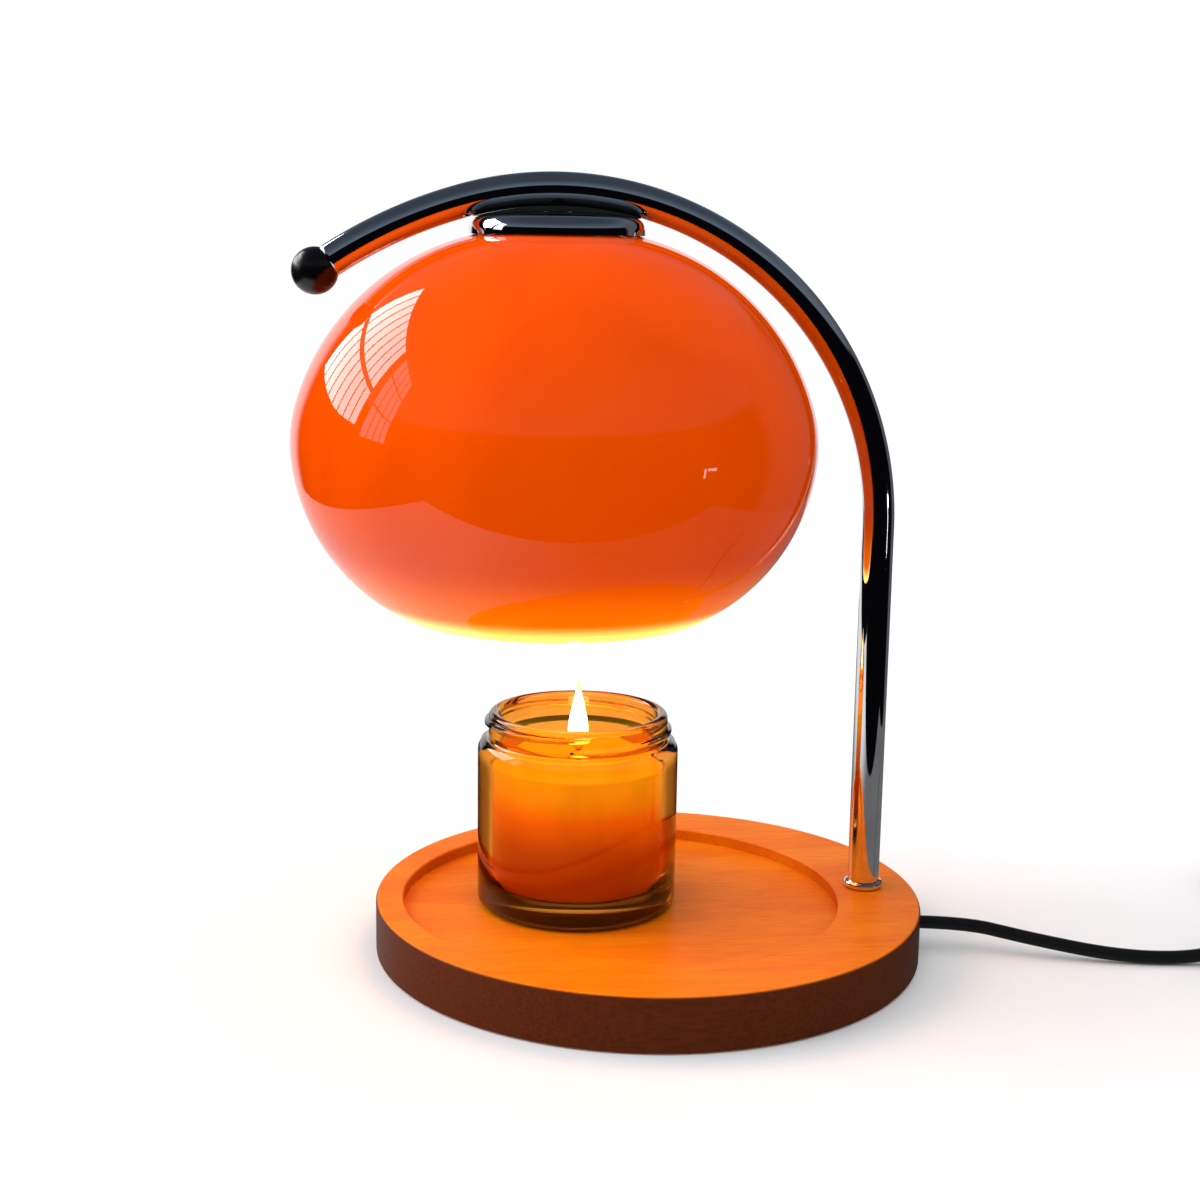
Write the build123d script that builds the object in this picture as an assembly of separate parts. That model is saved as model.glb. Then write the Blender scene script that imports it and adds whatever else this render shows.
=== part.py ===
from build123d import *
from math import acos, cos, degrees, pi, radians, sin, sqrt, tan
import os

# Candle warmer lamp. Millimetres, +Z up. The origin is the middle of the felt under the base, the post
# stands on the +X side, and the arm bends over in the plane Y = 0.

os.makedirs("parts", exist_ok=True)

# ---- wooden base
base_radius = 86.0
base_top = 17.0  # top of the wood above the table
base_lift = 0.3  # the felt holds the wood this far off the table
base_edge = 1.0  # rounding of the two outer edges
rim_margin = 8.5  # wood left outside the recess, away from the post
post_margin = 10.1  # from the recess to the post's axis
post_inset = 15.8  # from the edge of the base to the post's axis
recess_depth = 3.8
recess_bevel = 0.4
felt_margin = 4.0
felt_thickness = 1.0
felt_clearance = 0.2

# ---- wiring pocket under the base
pocket_radius = 22.5
pocket_back = 14.2  # from the post's axis to the pocket's centre, along X
pocket_side = 4.0  # from the post's axis to the pocket's centre, along -Y
wood_over_pocket = 3.8
ledge_width = 2.0
cover_thickness = 1.2
cover_clearance = 0.2
lug_radius = 4.0
lug_reach = 4.5  # from the pocket's wall to a lug's centre

# ---- arm
tube_radius = 5.0
tube_wall = 1.0
leg_length = 117.1
arch_radius = 101.2
arch_angle = 105.8
tip_radius = 141.7
tip_angle = 19.7
ball_radius = 7.0
finial_stud_radius = 2.0
finial_plug_length = 8.0
finial_stud_grip = 6.0

# ---- foot of the arm
stud_wall = 1.05
stud_reach = 15.0
stud_clearance = 0.05
stud_tail = 0.4
post_hole_clearance = 0.35
foot_washer_radius = 7.0
foot_washer_thickness = 1.0
foot_nut_flats = 12.0
foot_nut_height = 3.0
collar_width = 1.2
collar_height = 2.4
collar_round = 1.0

# ---- glass shade, an outline of arcs tangent to each other
shade_radius = 79.4
shade_upper_turn = 42.8
shade_upper_angle = 17.5
shade_crown = 73.1
shade_lower_turn = 46.2
shade_lower_angle = 7.4
shade_skirt = 59.5
shade_opening = 45.7
glass_wall = 3.0
glass_land = 15.2
glass_hole = 5.5

# ---- cap and what clamps the glass
cap_radius = 26.5
cap_wall = 1.0
cap_dome = 180.0
cap_shoulder = 4.2
cap_gap = 0.3  # between the cap's rim and the glass
boss_height = 1.7  # between the arm and the cap
spacer_radius = 12.0
spacer_height = 4.2
glass_gasket_radius = 14.0
glass_gasket_thickness = 1.0
clamp_plate_radius = 16.0
clamp_plate_thickness = 1.5
nipple_head_radius = 4.0
nipple_radius = 3.4
nipple_bore = 2.3
nipple_tail = 1.0
nipple_nut_flats = 12.0
nipple_nut_height = 3.0

# ---- lamp holder
bracket_length = 34.0
bracket_width = 14.0
bracket_height = 12.4
bracket_strip = 1.2
bracket_round = 2.0
holder_radius = 14.5
holder_height = 16.0
holder_lip = 2.5
holder_cavity = 6.0
holder_cavity_radius = 8.2
holder_screw_offset = 11.0
pin_circle = 5.0
pin_neck_radius = 1.5
pin_head_radius = 2.5
pin_head_height = 2.0
bulb_twist = 25.0
bulb_gap = 0.3  # between bulb and holder
contact_sheet = 0.6
contact_reach = 2.0  # past the pin's axis, outwards
contact_back = 1.2  # past the lamp's axis, inwards
contact_width = 3.0
contact_split = 0.15  # from the middle plane to each contact
holder_bite = 6.0
holder_edge = 1.2

# ---- bulb
bulb_base_height = 13.2
bulb_base_radius = 14.0
bulb_base_top_radius = 11.5
reflector_depth = 30.0
reflector_radius = 25.0
reflector_rim = 3.0
reflector_wall = 1.5
reflector_ledge = 0.4
reflector_bulge = 0.84  # radius half way up, over the radius at the rim
lens_thickness = 1.5
capsule_radius = 4.5
capsule_length = 14.0
capsule_foot = 5.0
capsule_neck = 1.5

# ---- candle
candle_shift = 8.6  # from the shade's axis to the candle's, along +X
candle_side = 4.7  # along +Y
candle_gap = 0.1
jar_radius = 31.5
jar_height = 62.2
jar_wall = 4.5
jar_floor = 8.0
jar_corner = 3.0
jar_shoulder = 4.0
jar_shoulder_bulge = 0.72
neck_radius = 28.1
neck_height = 8.3
neck_wall = 3.6
neck_inset = 0.5  # of the inner step below the outer one
thread_pitch = 4.23
thread_turns = 1.04
thread_height = 1.3
thread_width = 2.4
thread_root = 0.4  # of the thread's profile inside the neck
thread_top = 2.2  # from the thread's upper end to the jar's rim
thread_start = -102.0
wax_height = 38.2
wick_radius = 0.9
wick_stand = 6.5
wick_tab_radius = 9.0
wick_tab_thickness = 0.8

# ---- leads and cord
wire_radius = 0.95
wire_spread = 1.05  # from the middle to each inner lead
wire_bend = 3.0
wire_top_bend = 4.2
wire_clearance = 0.2
cord_radius = 2.1
cord_side = 9.6  # from the post's axis to the cord, along -Y
cord_drop = 0.8  # of the cord's axis below the pocket's ceiling
cord_bore_clearance = 0.3
core_radius = 0.9
core_spread = 1.0
core_drop = 0.6
grommet_wall = 1.7
grommet_fit = 0.02
grommet_overlap = 2.0  # of the bush's bore with the pocket
clamp_ahead = 3.0  # from the pocket's centre to the clamp, along +X
clamp_length = 6.0
clamp_screw_offset = 4.6
clamp_margin = 2.0
clamp_depth = 3.8
clamp_gap = 1.2
sheath_past_clamp = 1.5
block_ahead = -4.0  # from the pocket's centre to the block's face, along +X
block_length = 12.0
block_margin = 5.0
splice_inset = 3.0
splice_roof = 2.5
splice_sink = 0.6
splice_side = 1.2  # of the second splice screw, along +Y

# ---- screws
screw_radius = 1.25
screw_head_radius = 2.2
screw_head_height = 1.4
screw_slot = 0.7
screw_bite = 2.6
screw_fit = 0.02
flush_screw_radius = 1.4
flush_head_radius = 2.5
flush_bite = 6.0

# ---- in-line dimmer
dimmer_start = 184.0
dimmer_y = -33.0
dimmer_length = 60.0
dimmer_width = 27.0
dimmer_height = 17.0
dimmer_split = 5.5
dimmer_wall = 2.0
dimmer_corner = 8.0
dimmer_edge = 1.6
wheel_radius = 12.0
wheel_thickness = 4.6
wheel_shift = 4.0
wheel_gap = 0.3
wheel_side_gap = 0.4
wheel_notches = 30
wheel_notch = 0.5
axle_radius = 2.0
axle_fit = 0.05
axle_boss = 4.0
axle_grip = 2.8
board_length = 48.0
board_width = 20.0
board_thickness = 1.6
board_stand = 1.4
board_ledge = 1.2
chip_offset = 14.0
chip_width = 6.5
chip_thickness = 4.0
chip_height = 7.0
terminal_length = 7.0
terminal_width = 8.0
terminal_height = 4.5
post_offset_x = 18.0
post_offset_y = 8.0
post_radius = 3.0

# ---- put-away coil and plug
coil_x = 239.5
coil_y = 24.0
coil_radius = 25.0
coil_columns = 3
coil_rows = 3
coil_pitch = 4.3
coil_row_pitch = 4.2
coil_lift = 0.8
tie_width = 8.0
tie_thickness = 0.75
tie_fit = 0.05
tie_angle = 150.0
plug_length = 28.0
plug_width = 24.0
plug_height = 14.0
plug_round = 4.0
relief_length = 22.0
relief_start_radius = 3.1
relief_end_radius = 4.8
relief_grooves = 5
relief_groove = 1.3
relief_groove_start = 0.6  # of the grooves' pitch
relief_core = 0.5
blade_length = 17.0
blade_height = 6.3
blade_thickness = 1.5
blade_spacing = 12.7
blade_hole = 1.6
blade_hole_inset = 4.0
blade_chamfer = 1.5

# ---- places worked out from the sizes above
post_x = base_radius - post_inset
recess_low = rim_margin - base_radius
recess_high = post_x - post_margin
recess_x = (recess_low + recess_high) / 2
recess_radius = (recess_high - recess_low) / 2
recess_floor = base_top - recess_depth
felt_radius = base_radius - felt_margin
pocket = (post_x - pocket_back, -pocket_side)
pocket_ceiling = recess_floor - wood_over_pocket
cover_top = felt_thickness + cover_thickness
lug_circle = pocket_radius + lug_reach

arch_centre = (post_x - arch_radius, base_top + leg_length)
shade_x = arch_centre[0]
axis = (shade_x, 0.0)
apex = arch_centre[1] + arch_radius
tube_bore = tube_radius - tube_wall

cap_top = apex - tube_radius - boss_height
glass_top = cap_top - cap_wall - spacer_height
gasket_low = glass_top - glass_wall - glass_gasket_thickness
plate_low = gasket_low - clamp_plate_thickness
nut_high = plate_low - bracket_strip
nut_low = nut_high - nipple_nut_height
holder_top = plate_low - bracket_height
holder_low = holder_top - holder_height
bulb_top = holder_low - bulb_gap
reflector_top = bulb_top - bulb_base_height
lens_low = reflector_top - reflector_depth

candle = (shade_x + candle_shift, candle_side)
jar_low = recess_floor + candle_gap
wax_low = jar_low + jar_floor
wax_top = wax_low + wax_height

cord_y = -cord_side
cord_z = pocket_ceiling - cord_drop
grommet_start = pocket[0] + pocket_radius - grommet_overlap
clamp_x = pocket[0] + clamp_ahead
sheath_end = clamp_x - clamp_length / 2 - sheath_past_clamp
block_face = pocket[0] + block_ahead
wire_z = cover_top + wire_clearance + wire_radius

# Free route of the cord, from the clamp in the base to the dimmer, then to the coil, then to the plug.
board_start = dimmer_start + (dimmer_length - board_length) / 2
cord_to_dimmer = [
    (sheath_end, cord_y, cord_z),
    (96.5, cord_y, cord_z),
    (121.0, -20.9, 5.2),
    (146.0, -29.6, 2.3),
    (168.0, -32.4, 2.2),
    (180.0, dimmer_y, dimmer_split),
    (board_start, dimmer_y, dimmer_split),
]
cord_to_coil = [
    (board_start + board_length, dimmer_y, dimmer_split),
    (251.0, dimmer_y, dimmer_split),
    (262.3, -26.5, 4.6),
    (268.7, -15.2, 3.4),
    (268.8, 0.0, 2.9),
    (268.8, 18.0, 2.9),
]
cord_to_plug = [
    (268.8, 30.0, 11.3),
    (268.8, 43.0, 9.6),
    (268.1, 57.0, 6.2),
    (268.4, 71.0, 7.0),
    (268.9, 84.0, 7.0),
]
plug_at = cord_to_plug[-1]
plug_along = Vector(*cord_to_plug[-1]) - Vector(*cord_to_plug[-2])

parts = {}


# ---- shared shapes
def rod(radius, low, high, at=(0.0, 0.0)):
    bottom = (Align.CENTER, Align.CENTER, Align.MIN)
    return Pos(at[0], at[1], low) * Cylinder(radius, high - low, align=bottom)


def cone(low_radius, high_radius, low, high, at=(0.0, 0.0)):
    bottom = (Align.CENTER, Align.CENTER, Align.MIN)
    return Pos(at[0], at[1], low) * Cone(low_radius, high_radius, high - low, align=bottom)


def ring(outer, inner, low, high, at=(0.0, 0.0)):
    return rod(outer, low, high, at) - rod(inner, low - 1, high + 1, at)


def brick(x, y, z):
    middle = [(low + high) / 2 for low, high in (x, y, z)]
    return Pos(*middle) * Box(x[1] - x[0], y[1] - y[0], z[1] - z[0])


def level_rod(radius, start, end, y, z):
    return Pos((start + end) / 2, y, z) * Rot(0, 90, 0) * Cylinder(radius, end - start)


def on_circle(centre, radius, angle):
    return (centre[0] + radius * cos(radians(angle)), centre[1] + radius * sin(radians(angle)))


def line_xz(start, end, y=0.0):
    return Line((start[0], y, start[1]), (end[0], y, end[1]))


def arc_xz(centre, radius, start, end, y=0.0):
    corners = [on_circle(centre, radius, angle) for angle in (start, (start + end) / 2, end)]
    return ThreePointArc(*[(x, y, z) for x, z in corners])


def turned(edges, at=(0.0, 0.0)):
    return Pos(at[0], at[1], 0) * revolve(make_face(Wire(edges)), Axis.Z)


def hexagon(flats, bore, low, high, at=(0.0, 0.0), turn=0.0):
    face = RegularPolygon(flats / 2, 6, major_radius=False, rotation=turn)
    nut = Pos(at[0], at[1], low) * extrude(face, high - low)
    return nut - rod(bore, low - 1, high + 1, at)


def rounded_brick(length, width, low, high, corner):
    return Pos(0, 0, low) * extrude(RectangleRounded(length, width, corner), high - low)


def screw_up(at, seat, tip):
    """Round-headed screw with its head under the height seat and its tip above it."""
    head = rod(screw_head_radius, seat - screw_head_height, seat, at)
    slot = screw_head_radius + 1
    groove = brick((at[0] - slot, at[0] + slot), (at[1] - screw_slot / 2, at[1] + screw_slot / 2),
                   (seat - screw_head_height - 1, seat - screw_head_height + screw_slot))
    return head + rod(screw_radius, seat, tip, at) - groove


def swept(path, radius):
    section = Plane(origin=path @ 0, z_dir=path % 0) * Circle(radius)
    return sweep(section, path=path)


def cord_tube(points, radius, name):
    """Straight runs and tangent arcs, each arc as large as its two runs allow."""
    places = [Vector(*point) for point in points]
    runs = [b - a for a, b in zip(places, places[1:])]
    radii = []
    for before, after in zip(runs, runs[1:]):
        half_turn = radians(before.get_angle(after)) / 2
        radii.append(0.45 * min(before.length, after.length) / tan(half_turn))
    path = FilletPolyline(*points, radius=radii)
    tube = swept(path, radius)
    length = sum(edge.length for edge in path.edges())
    ratio = tube.volume / (pi * radius**2 * length)
    print(name, "length", round(length, 1), "volume ratio", round(ratio, 4))
    return tube


# ---- outline of the shade, inset by a distance from its outer face
def shade_centres():
    upper = (shade_radius - shade_upper_turn, 0.0)
    crown = on_circle(upper, shade_upper_turn - shade_crown, shade_upper_angle)
    lower = (shade_radius - shade_lower_turn, 0.0)
    skirt = on_circle(lower, shade_lower_turn - shade_skirt, -shade_lower_angle)
    return upper, crown, lower, skirt


upper_at, crown_at, lower_at, skirt_at = shade_centres()
crown_rise = crown_at[1] + sqrt(shade_crown**2 - (glass_land - crown_at[0]) ** 2)
shade_z = glass_top - crown_rise  # height of the shade's widest line
centres = [(x, z + shade_z) for x, z in shade_centres()]
upper_at, crown_at, lower_at, skirt_at = centres
rim_angle = -degrees(acos((shade_opening - skirt_at[0]) / shade_skirt))


def crown_height(radius):
    return crown_at[1] + sqrt(shade_crown**2 - (radius - crown_at[0]) ** 2)


def shade_line(inset, top):
    """Edges from the hole's edge at the height top, outwards and down to the rim."""
    radius = shade_crown - inset
    land = crown_at[0] + sqrt(radius**2 - (top - crown_at[1]) ** 2)
    land_angle = degrees(acos((land - crown_at[0]) / radius))
    return [
        line_xz((glass_hole, top), (land, top)),
        arc_xz(crown_at, radius, land_angle, shade_upper_angle),
        arc_xz(upper_at, shade_upper_turn - inset, shade_upper_angle, 0),
        arc_xz(lower_at, shade_lower_turn - inset, 0, -shade_lower_angle),
        arc_xz(skirt_at, shade_skirt - inset, -shade_lower_angle, rim_angle),
    ]


def make_shade():
    outer = shade_line(0.0, glass_top)
    inner = shade_line(glass_wall, glass_top - glass_wall)
    rim_middle = on_circle(skirt_at, shade_skirt - glass_wall / 2, rim_angle)
    low = on_circle(rim_middle, glass_wall / 2, rim_angle - 90)
    start = on_circle(skirt_at, shade_skirt, rim_angle)
    end = on_circle(skirt_at, shade_skirt - glass_wall, rim_angle)
    rim = ThreePointArc(*[(x, 0, z) for x, z in (start, low, end)])
    hole = line_xz((glass_hole, glass_top - glass_wall), (glass_hole, glass_top))
    return turned(outer + [rim] + inner + [hole], axis)


# ---- cap: straight rim, round shoulder, shallow dome
def cap_line(inset, low):
    dome_centre = (0.0, cap_top - cap_dome)
    corner_x = cap_radius - cap_shoulder
    reach = cap_dome - cap_shoulder
    corner = (corner_x, dome_centre[1] + sqrt(reach**2 - corner_x**2))
    meet = degrees(acos(corner_x / reach))
    hole = nipple_radius + screw_fit
    hole_angle = degrees(acos(hole / (cap_dome - inset)))
    return [
        line_xz((cap_radius - inset, low), (cap_radius - inset, corner[1])),
        arc_xz(corner, cap_shoulder - inset, 0, meet),
        arc_xz(dome_centre, cap_dome - inset, meet, hole_angle),
    ]


def make_cap():
    low = crown_height(cap_radius - cap_wall) + cap_gap
    outer = cap_line(0.0, low)
    inner = cap_line(cap_wall, low)
    foot = line_xz((cap_radius - cap_wall, low), (cap_radius, low))
    top_out = outer[-1] @ 1
    top_in = inner[-1] @ 1
    hole = Line(top_out, top_in)
    return turned([foot] + outer + [hole] + inner, axis)


# ---- centreline of the arm, up to a place before the middle of the ball
seat_drop = sqrt(ball_radius**2 - tube_radius**2)  # from the ball's middle to its flat seat
tip_centre = on_circle(arch_centre, arch_radius - tip_radius, arch_angle)
end_angle = arch_angle + tip_angle - degrees(seat_drop / tip_radius)
end_at = on_circle(tip_centre, tip_radius, end_angle)
end_along = Vector(-sin(radians(end_angle)), 0, cos(radians(end_angle)))
end_plane = Plane(origin=(end_at[0], 0, end_at[1]), z_dir=end_along)


def arm_path(end):
    leg = line_xz((post_x, base_top), (post_x, arch_centre[1]))
    arch = arc_xz(arch_centre, arch_radius, 0, arch_angle)
    tip = arc_xz(tip_centre, tip_radius, arch_angle, end)
    return Wire([leg, arch, tip])


def arm_solid(radius):
    return swept(arm_path(end_angle), radius)


# ---- wooden base with its recess, pocket, bores and pilot holes
def cover_shape(radius, lug, low, high):
    shape = rod(radius, low, high, pocket)
    for angle in (90, 180, 270):
        shape += rod(lug, low, high, on_circle(pocket, lug_circle, angle))
    return shape


def make_base():
    low, top, edge = base_lift, base_top, base_edge
    wood = turned([
        line_xz((0, low), (base_radius - edge, low)),
        arc_xz((base_radius - edge, low + edge), edge, -90, 0),
        line_xz((base_radius, low + edge), (base_radius, top - edge)),
        arc_xz((base_radius - edge, top - edge), edge, 0, 90),
        line_xz((base_radius - edge, top), (0, top)),
        line_xz((0, top), (0, low)),
    ])
    wood -= rod(recess_radius, recess_floor, top + 1, (recess_x, 0))
    wood -= cone(recess_radius, recess_radius + 2 * recess_bevel, top - recess_bevel, top + recess_bevel,
                 (recess_x, 0))
    wood -= rod(felt_radius + felt_clearance, low - 1, felt_thickness)
    wood -= cover_shape(pocket_radius + ledge_width, lug_radius, felt_thickness - 0.1, cover_top)
    wood -= rod(pocket_radius, felt_thickness, pocket_ceiling, pocket)
    wood -= rod(tube_radius - tube_wall + post_hole_clearance, pocket_ceiling - 1, top + 1, (post_x, 0))
    wood -= level_rod(cord_radius + cord_bore_clearance, sheath_end - 1, base_radius + 1, cord_y, cord_z)
    wood -= level_rod(cord_radius + grommet_wall + grommet_fit, grommet_start, base_radius + 1,
                      cord_y, cord_z)
    for angle in (90, 180, 270):
        spot = on_circle(pocket, lug_circle, angle)
        wood -= rod(flush_screw_radius + screw_fit, cover_top - 0.1, cover_top + flush_bite + 0.2, spot)
    for spot in clamp_screw_spots():
        pilot_top = pocket_ceiling + screw_bite + 0.2
        wood -= rod(screw_radius + screw_fit, pocket_ceiling - 0.1, pilot_top, spot)
    return wood


def clamp_screw_spots():
    middle = (block_face - block_length / 2, cord_y / 2)
    return [(clamp_x, cord_y - clamp_screw_offset), (clamp_x, cord_y + clamp_screw_offset), middle]


parts["tray_base"] = make_base()
parts["base_felt"] = rod(felt_radius, 0, felt_thickness)


# ---- pocket cover and its flush screws
def flush_screw(at):
    cut = brick((at[0] - flush_head_radius, at[0] + flush_head_radius),
                (at[1] - screw_slot / 2, at[1] + screw_slot / 2),
                (felt_thickness - 1, felt_thickness + screw_slot / 2))
    head = cone(flush_head_radius, flush_screw_radius, felt_thickness, cover_top, at)
    return head + rod(flush_screw_radius, cover_top, cover_top + flush_bite, at) - cut


cover = cover_shape(pocket_radius + ledge_width - cover_clearance, lug_radius - cover_clearance,
                    felt_thickness, cover_top)
flush_screws = []
for angle in (90, 180, 270):
    spot = on_circle(pocket, lug_circle, angle)
    flush_screws.append(flush_screw(spot))
    cover -= cone(flush_head_radius + screw_fit, flush_screw_radius + screw_fit,
                  felt_thickness, cover_top, spot)
parts["pocket_cover"] = cover
parts["cover_screws"] = flush_screws

# ---- cord entry: bush in the side of the base, clamp, splice block
grommet = level_rod(cord_radius + grommet_wall, grommet_start, base_radius + 1, cord_y, cord_z)
grommet -= level_rod(cord_radius + grommet_fit, pocket[0], base_radius + 2, cord_y, cord_z)
grommet &= rod(base_radius - 0.2, 0, base_top)
grommet -= rod(pocket_radius, 0, base_top, pocket)
parts["cord_grommet"] = grommet

clamp_half = clamp_screw_offset + clamp_margin
clamp_top = pocket_ceiling - clamp_gap
clamp = brick((clamp_x - clamp_length / 2, clamp_x + clamp_length / 2),
              (cord_y - clamp_half, cord_y + clamp_half), (clamp_top - clamp_depth, clamp_top))
clamp -= level_rod(cord_radius + grommet_fit, clamp_x - clamp_length, clamp_x + clamp_length,
                   cord_y, cord_z)
clamp_spots = clamp_screw_spots()
for spot in clamp_spots[:2]:
    clamp -= rod(screw_radius + screw_fit, 0, base_top, spot)
parts["cord_clamp"] = clamp

block_low = cover_top + wire_clearance
block_y = (cord_y - block_margin, block_margin)
block = brick((block_face - block_length, block_face), block_y, (block_low, pocket_ceiling))
block_seat = block_low + screw_head_height + wire_clearance
block -= rod(screw_head_radius + screw_fit, 0, block_seat, clamp_spots[2])
block -= rod(screw_radius + screw_fit, 0, base_top, clamp_spots[2])
splice_spots = [(block_face - splice_inset, y) for y in (cord_y, splice_side)]
splice_top = pocket_ceiling - splice_roof
for spot in splice_spots:
    block -= rod(screw_radius + screw_fit, 0, splice_top, spot)
parts["terminal_block"] = block


def splice_screw(at):
    head = block_low + splice_sink
    groove = brick((at[0] - 2 * screw_radius, at[0] + 2 * screw_radius),
                   (at[1] - screw_slot / 2, at[1] + screw_slot / 2), (head - 1, head + screw_slot))
    return rod(screw_radius, head, splice_top, at) - groove


parts["terminal_screws"] = [splice_screw(spot) for spot in splice_spots]
screw_tip = pocket_ceiling + screw_bite
parts["clamp_screws"] = [screw_up(clamp_spots[0], clamp_top - clamp_depth, screw_tip),
                         screw_up(clamp_spots[1], clamp_top - clamp_depth, screw_tip),
                         screw_up(clamp_spots[2], block_seat, screw_tip)]


# ---- inner leads: splice block, up the leg, round the arch, down to the lamp holder
def inner_lead(y):
    bend_at = (post_x - wire_bend, wire_z + wire_bend)
    reach = arch_radius - wire_top_bend
    top_at = (shade_x + wire_top_bend, arch_centre[1] + sqrt(reach**2 - wire_top_bend**2))
    meet = degrees(acos(wire_top_bend / reach))
    path = Wire([
        line_xz((block_face, wire_z), (bend_at[0], wire_z), y),
        arc_xz(bend_at, wire_bend, -90, 0, y),
        line_xz((post_x, bend_at[1]), (post_x, arch_centre[1]), y),
        arc_xz(arch_centre, arch_radius, 0, meet, y),
        arc_xz(top_at, wire_top_bend, meet, 180, y),
        line_xz((shade_x, top_at[1]), (shade_x, lead_end), y),
    ])
    return swept(path, wire_radius)


cavity_low = holder_low + holder_lip
cavity_high = cavity_low + holder_cavity
lead_end = cavity_high
cores = [level_rod(core_radius, block_face, sheath_end, cord_y + side, cord_z - core_drop)
         for side in (-core_spread, core_spread)]
parts["inner_leads"] = [inner_lead(-wire_spread), inner_lead(wire_spread)] + cores

# ---- foot of the arm
post_at = (post_x, 0.0)
stud_radius = tube_bore - stud_clearance
foot_nut_low = pocket_ceiling - foot_washer_thickness - foot_nut_height
parts["post_stud"] = ring(stud_radius, stud_radius - stud_wall, foot_nut_low - stud_tail,
                          base_top + stud_reach, post_at)
parts["post_washer"] = ring(foot_washer_radius, stud_radius + screw_fit,
                            pocket_ceiling - foot_washer_thickness, pocket_ceiling, post_at)
parts["post_nut"] = hexagon(foot_nut_flats, stud_radius + screw_fit, foot_nut_low,
                            foot_nut_low + foot_nut_height, post_at, 30)
collar_inner = tube_radius + screw_fit
collar_outer = tube_radius + collar_width
collar_bend = collar_outer - collar_round
collar_top = base_top + collar_height
parts["post_collar"] = turned([
    line_xz((collar_inner, base_top), (collar_bend, base_top)),
    arc_xz((collar_bend, base_top + collar_round), collar_round, -90, 0),
    line_xz((collar_outer, base_top + collar_round), (collar_outer, collar_top - collar_round)),
    arc_xz((collar_bend, collar_top - collar_round), collar_round, 0, 90),
    line_xz((collar_bend, collar_top), (collar_inner, collar_top)),
    line_xz((collar_inner, collar_top), (collar_inner, base_top)),
], post_at)

# ---- arm tube and its finial
arm = arm_solid(tube_radius) - arm_solid(tube_bore)
arm -= rod(nipple_bore + 0.1, apex - tube_radius - 1, apex, axis)
parts["arm_tube"] = arm

plug_angle = degrees(finial_plug_length / tip_radius)
plug_line = arc_xz(tip_centre, tip_radius, end_angle - plug_angle, end_angle)
plug = swept(plug_line, tube_bore - stud_clearance)
parts["finial_plug"] = plug - end_plane * rod(finial_stud_radius + screw_fit, -finial_plug_length - 1, 1)
parts["finial_stud"] = end_plane * rod(finial_stud_radius, -finial_stud_grip, finial_stud_grip)
ball = Pos(0, 0, seat_drop) * Sphere(ball_radius) - rod(ball_radius, -ball_radius, 0)
ball -= rod(finial_stud_radius + screw_fit, -1, finial_stud_grip + 0.3)
parts["finial_ball"] = end_plane * ball

# ---- nipple, cap, gaskets, glass, plate and nut
nipple_low = nut_low - nipple_tail
nipple = rod(nipple_head_radius, cap_top - 0.5, apex, axis) - arm_solid(tube_radius + screw_fit)
nipple -= Pos(shade_x, 0, cap_top - cap_dome) * Sphere(cap_dome + screw_fit)
nipple += rod(nipple_radius, nipple_low, cap_top + 0.5, axis)
nipple -= rod(nipple_bore, nipple_low - 1, apex + 1, axis)
parts["hanger_nipple"] = nipple

parts["shade_cap"] = make_cap()
spacer = ring(spacer_radius, nipple_radius + screw_fit, glass_top, cap_top, axis)
spacer &= Pos(shade_x, 0, cap_top - cap_dome) * Sphere(cap_dome - cap_wall - screw_fit)
parts["cap_gasket"] = spacer
parts["shade_glass"] = make_shade()
parts["glass_gasket"] = ring(glass_gasket_radius, nipple_radius + screw_fit, gasket_low,
                             gasket_low + glass_gasket_thickness, axis)
parts["clamp_plate"] = ring(clamp_plate_radius, nipple_radius + screw_fit, plate_low,
                            plate_low + clamp_plate_thickness, axis)
parts["nipple_nut"] = hexagon(nipple_nut_flats, nipple_radius + screw_fit, nut_low, nut_high, axis, 30)

# ---- bracket, holder, contacts, screws
bracket_face = RectangleRounded(bracket_length, bracket_height, bracket_round)
bracket_face -= RectangleRounded(bracket_length - 2 * bracket_strip, bracket_height - 2 * bracket_strip,
                                 bracket_round - bracket_strip)
bracket_at = (shade_x, bracket_width / 2, plate_low - bracket_height / 2)
bracket_middle = Plane(origin=bracket_at, x_dir=(1, 0, 0), z_dir=(0, -1, 0))
bracket = extrude(bracket_middle * bracket_face, bracket_width)
bracket -= rod(nipple_radius + screw_fit, nut_low, plate_low + 1, axis)
bracket -= rod(2 * wire_spread + wire_radius, holder_top - 1, nut_low - 2, axis)
screw_spots = [(shade_x - holder_screw_offset, 0.0), (shade_x + holder_screw_offset, 0.0)]
for spot in screw_spots:
    bracket -= rod(screw_radius + screw_fit, holder_top - 1, nut_low - 2, spot)
parts["holder_bracket"] = bracket

holder = rod(holder_radius, holder_low, holder_top, axis)
holder = fillet(holder.edges().sort_by(Axis.Z)[0], holder_edge)
holder -= rod(holder_cavity_radius, cavity_low, cavity_high, axis)
holder -= rod(2 * wire_spread + wire_clearance, cavity_high - 1, holder_top + 1, axis)
neck_slot = pin_neck_radius + bulb_gap
slot_face = Rectangle(2 * neck_slot, holder_lip + 2)
slot_face = Plane.XZ * Pos(pin_circle, (holder_low + cavity_low) / 2) * slot_face
slot = revolve(slot_face, Axis.Z, revolution_arc=bulb_twist)
slot_low, slot_high = holder_low - 1, cavity_low + 1
slot += rod(neck_slot, slot_low, slot_high, (pin_circle, 0))
slot += rod(pin_head_radius + bulb_gap, slot_low, slot_high, on_circle((0, 0), pin_circle, bulb_twist))
for half in (0, 180):
    holder -= Pos(shade_x, 0, 0) * Rot(0, 0, half) * slot
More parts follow.
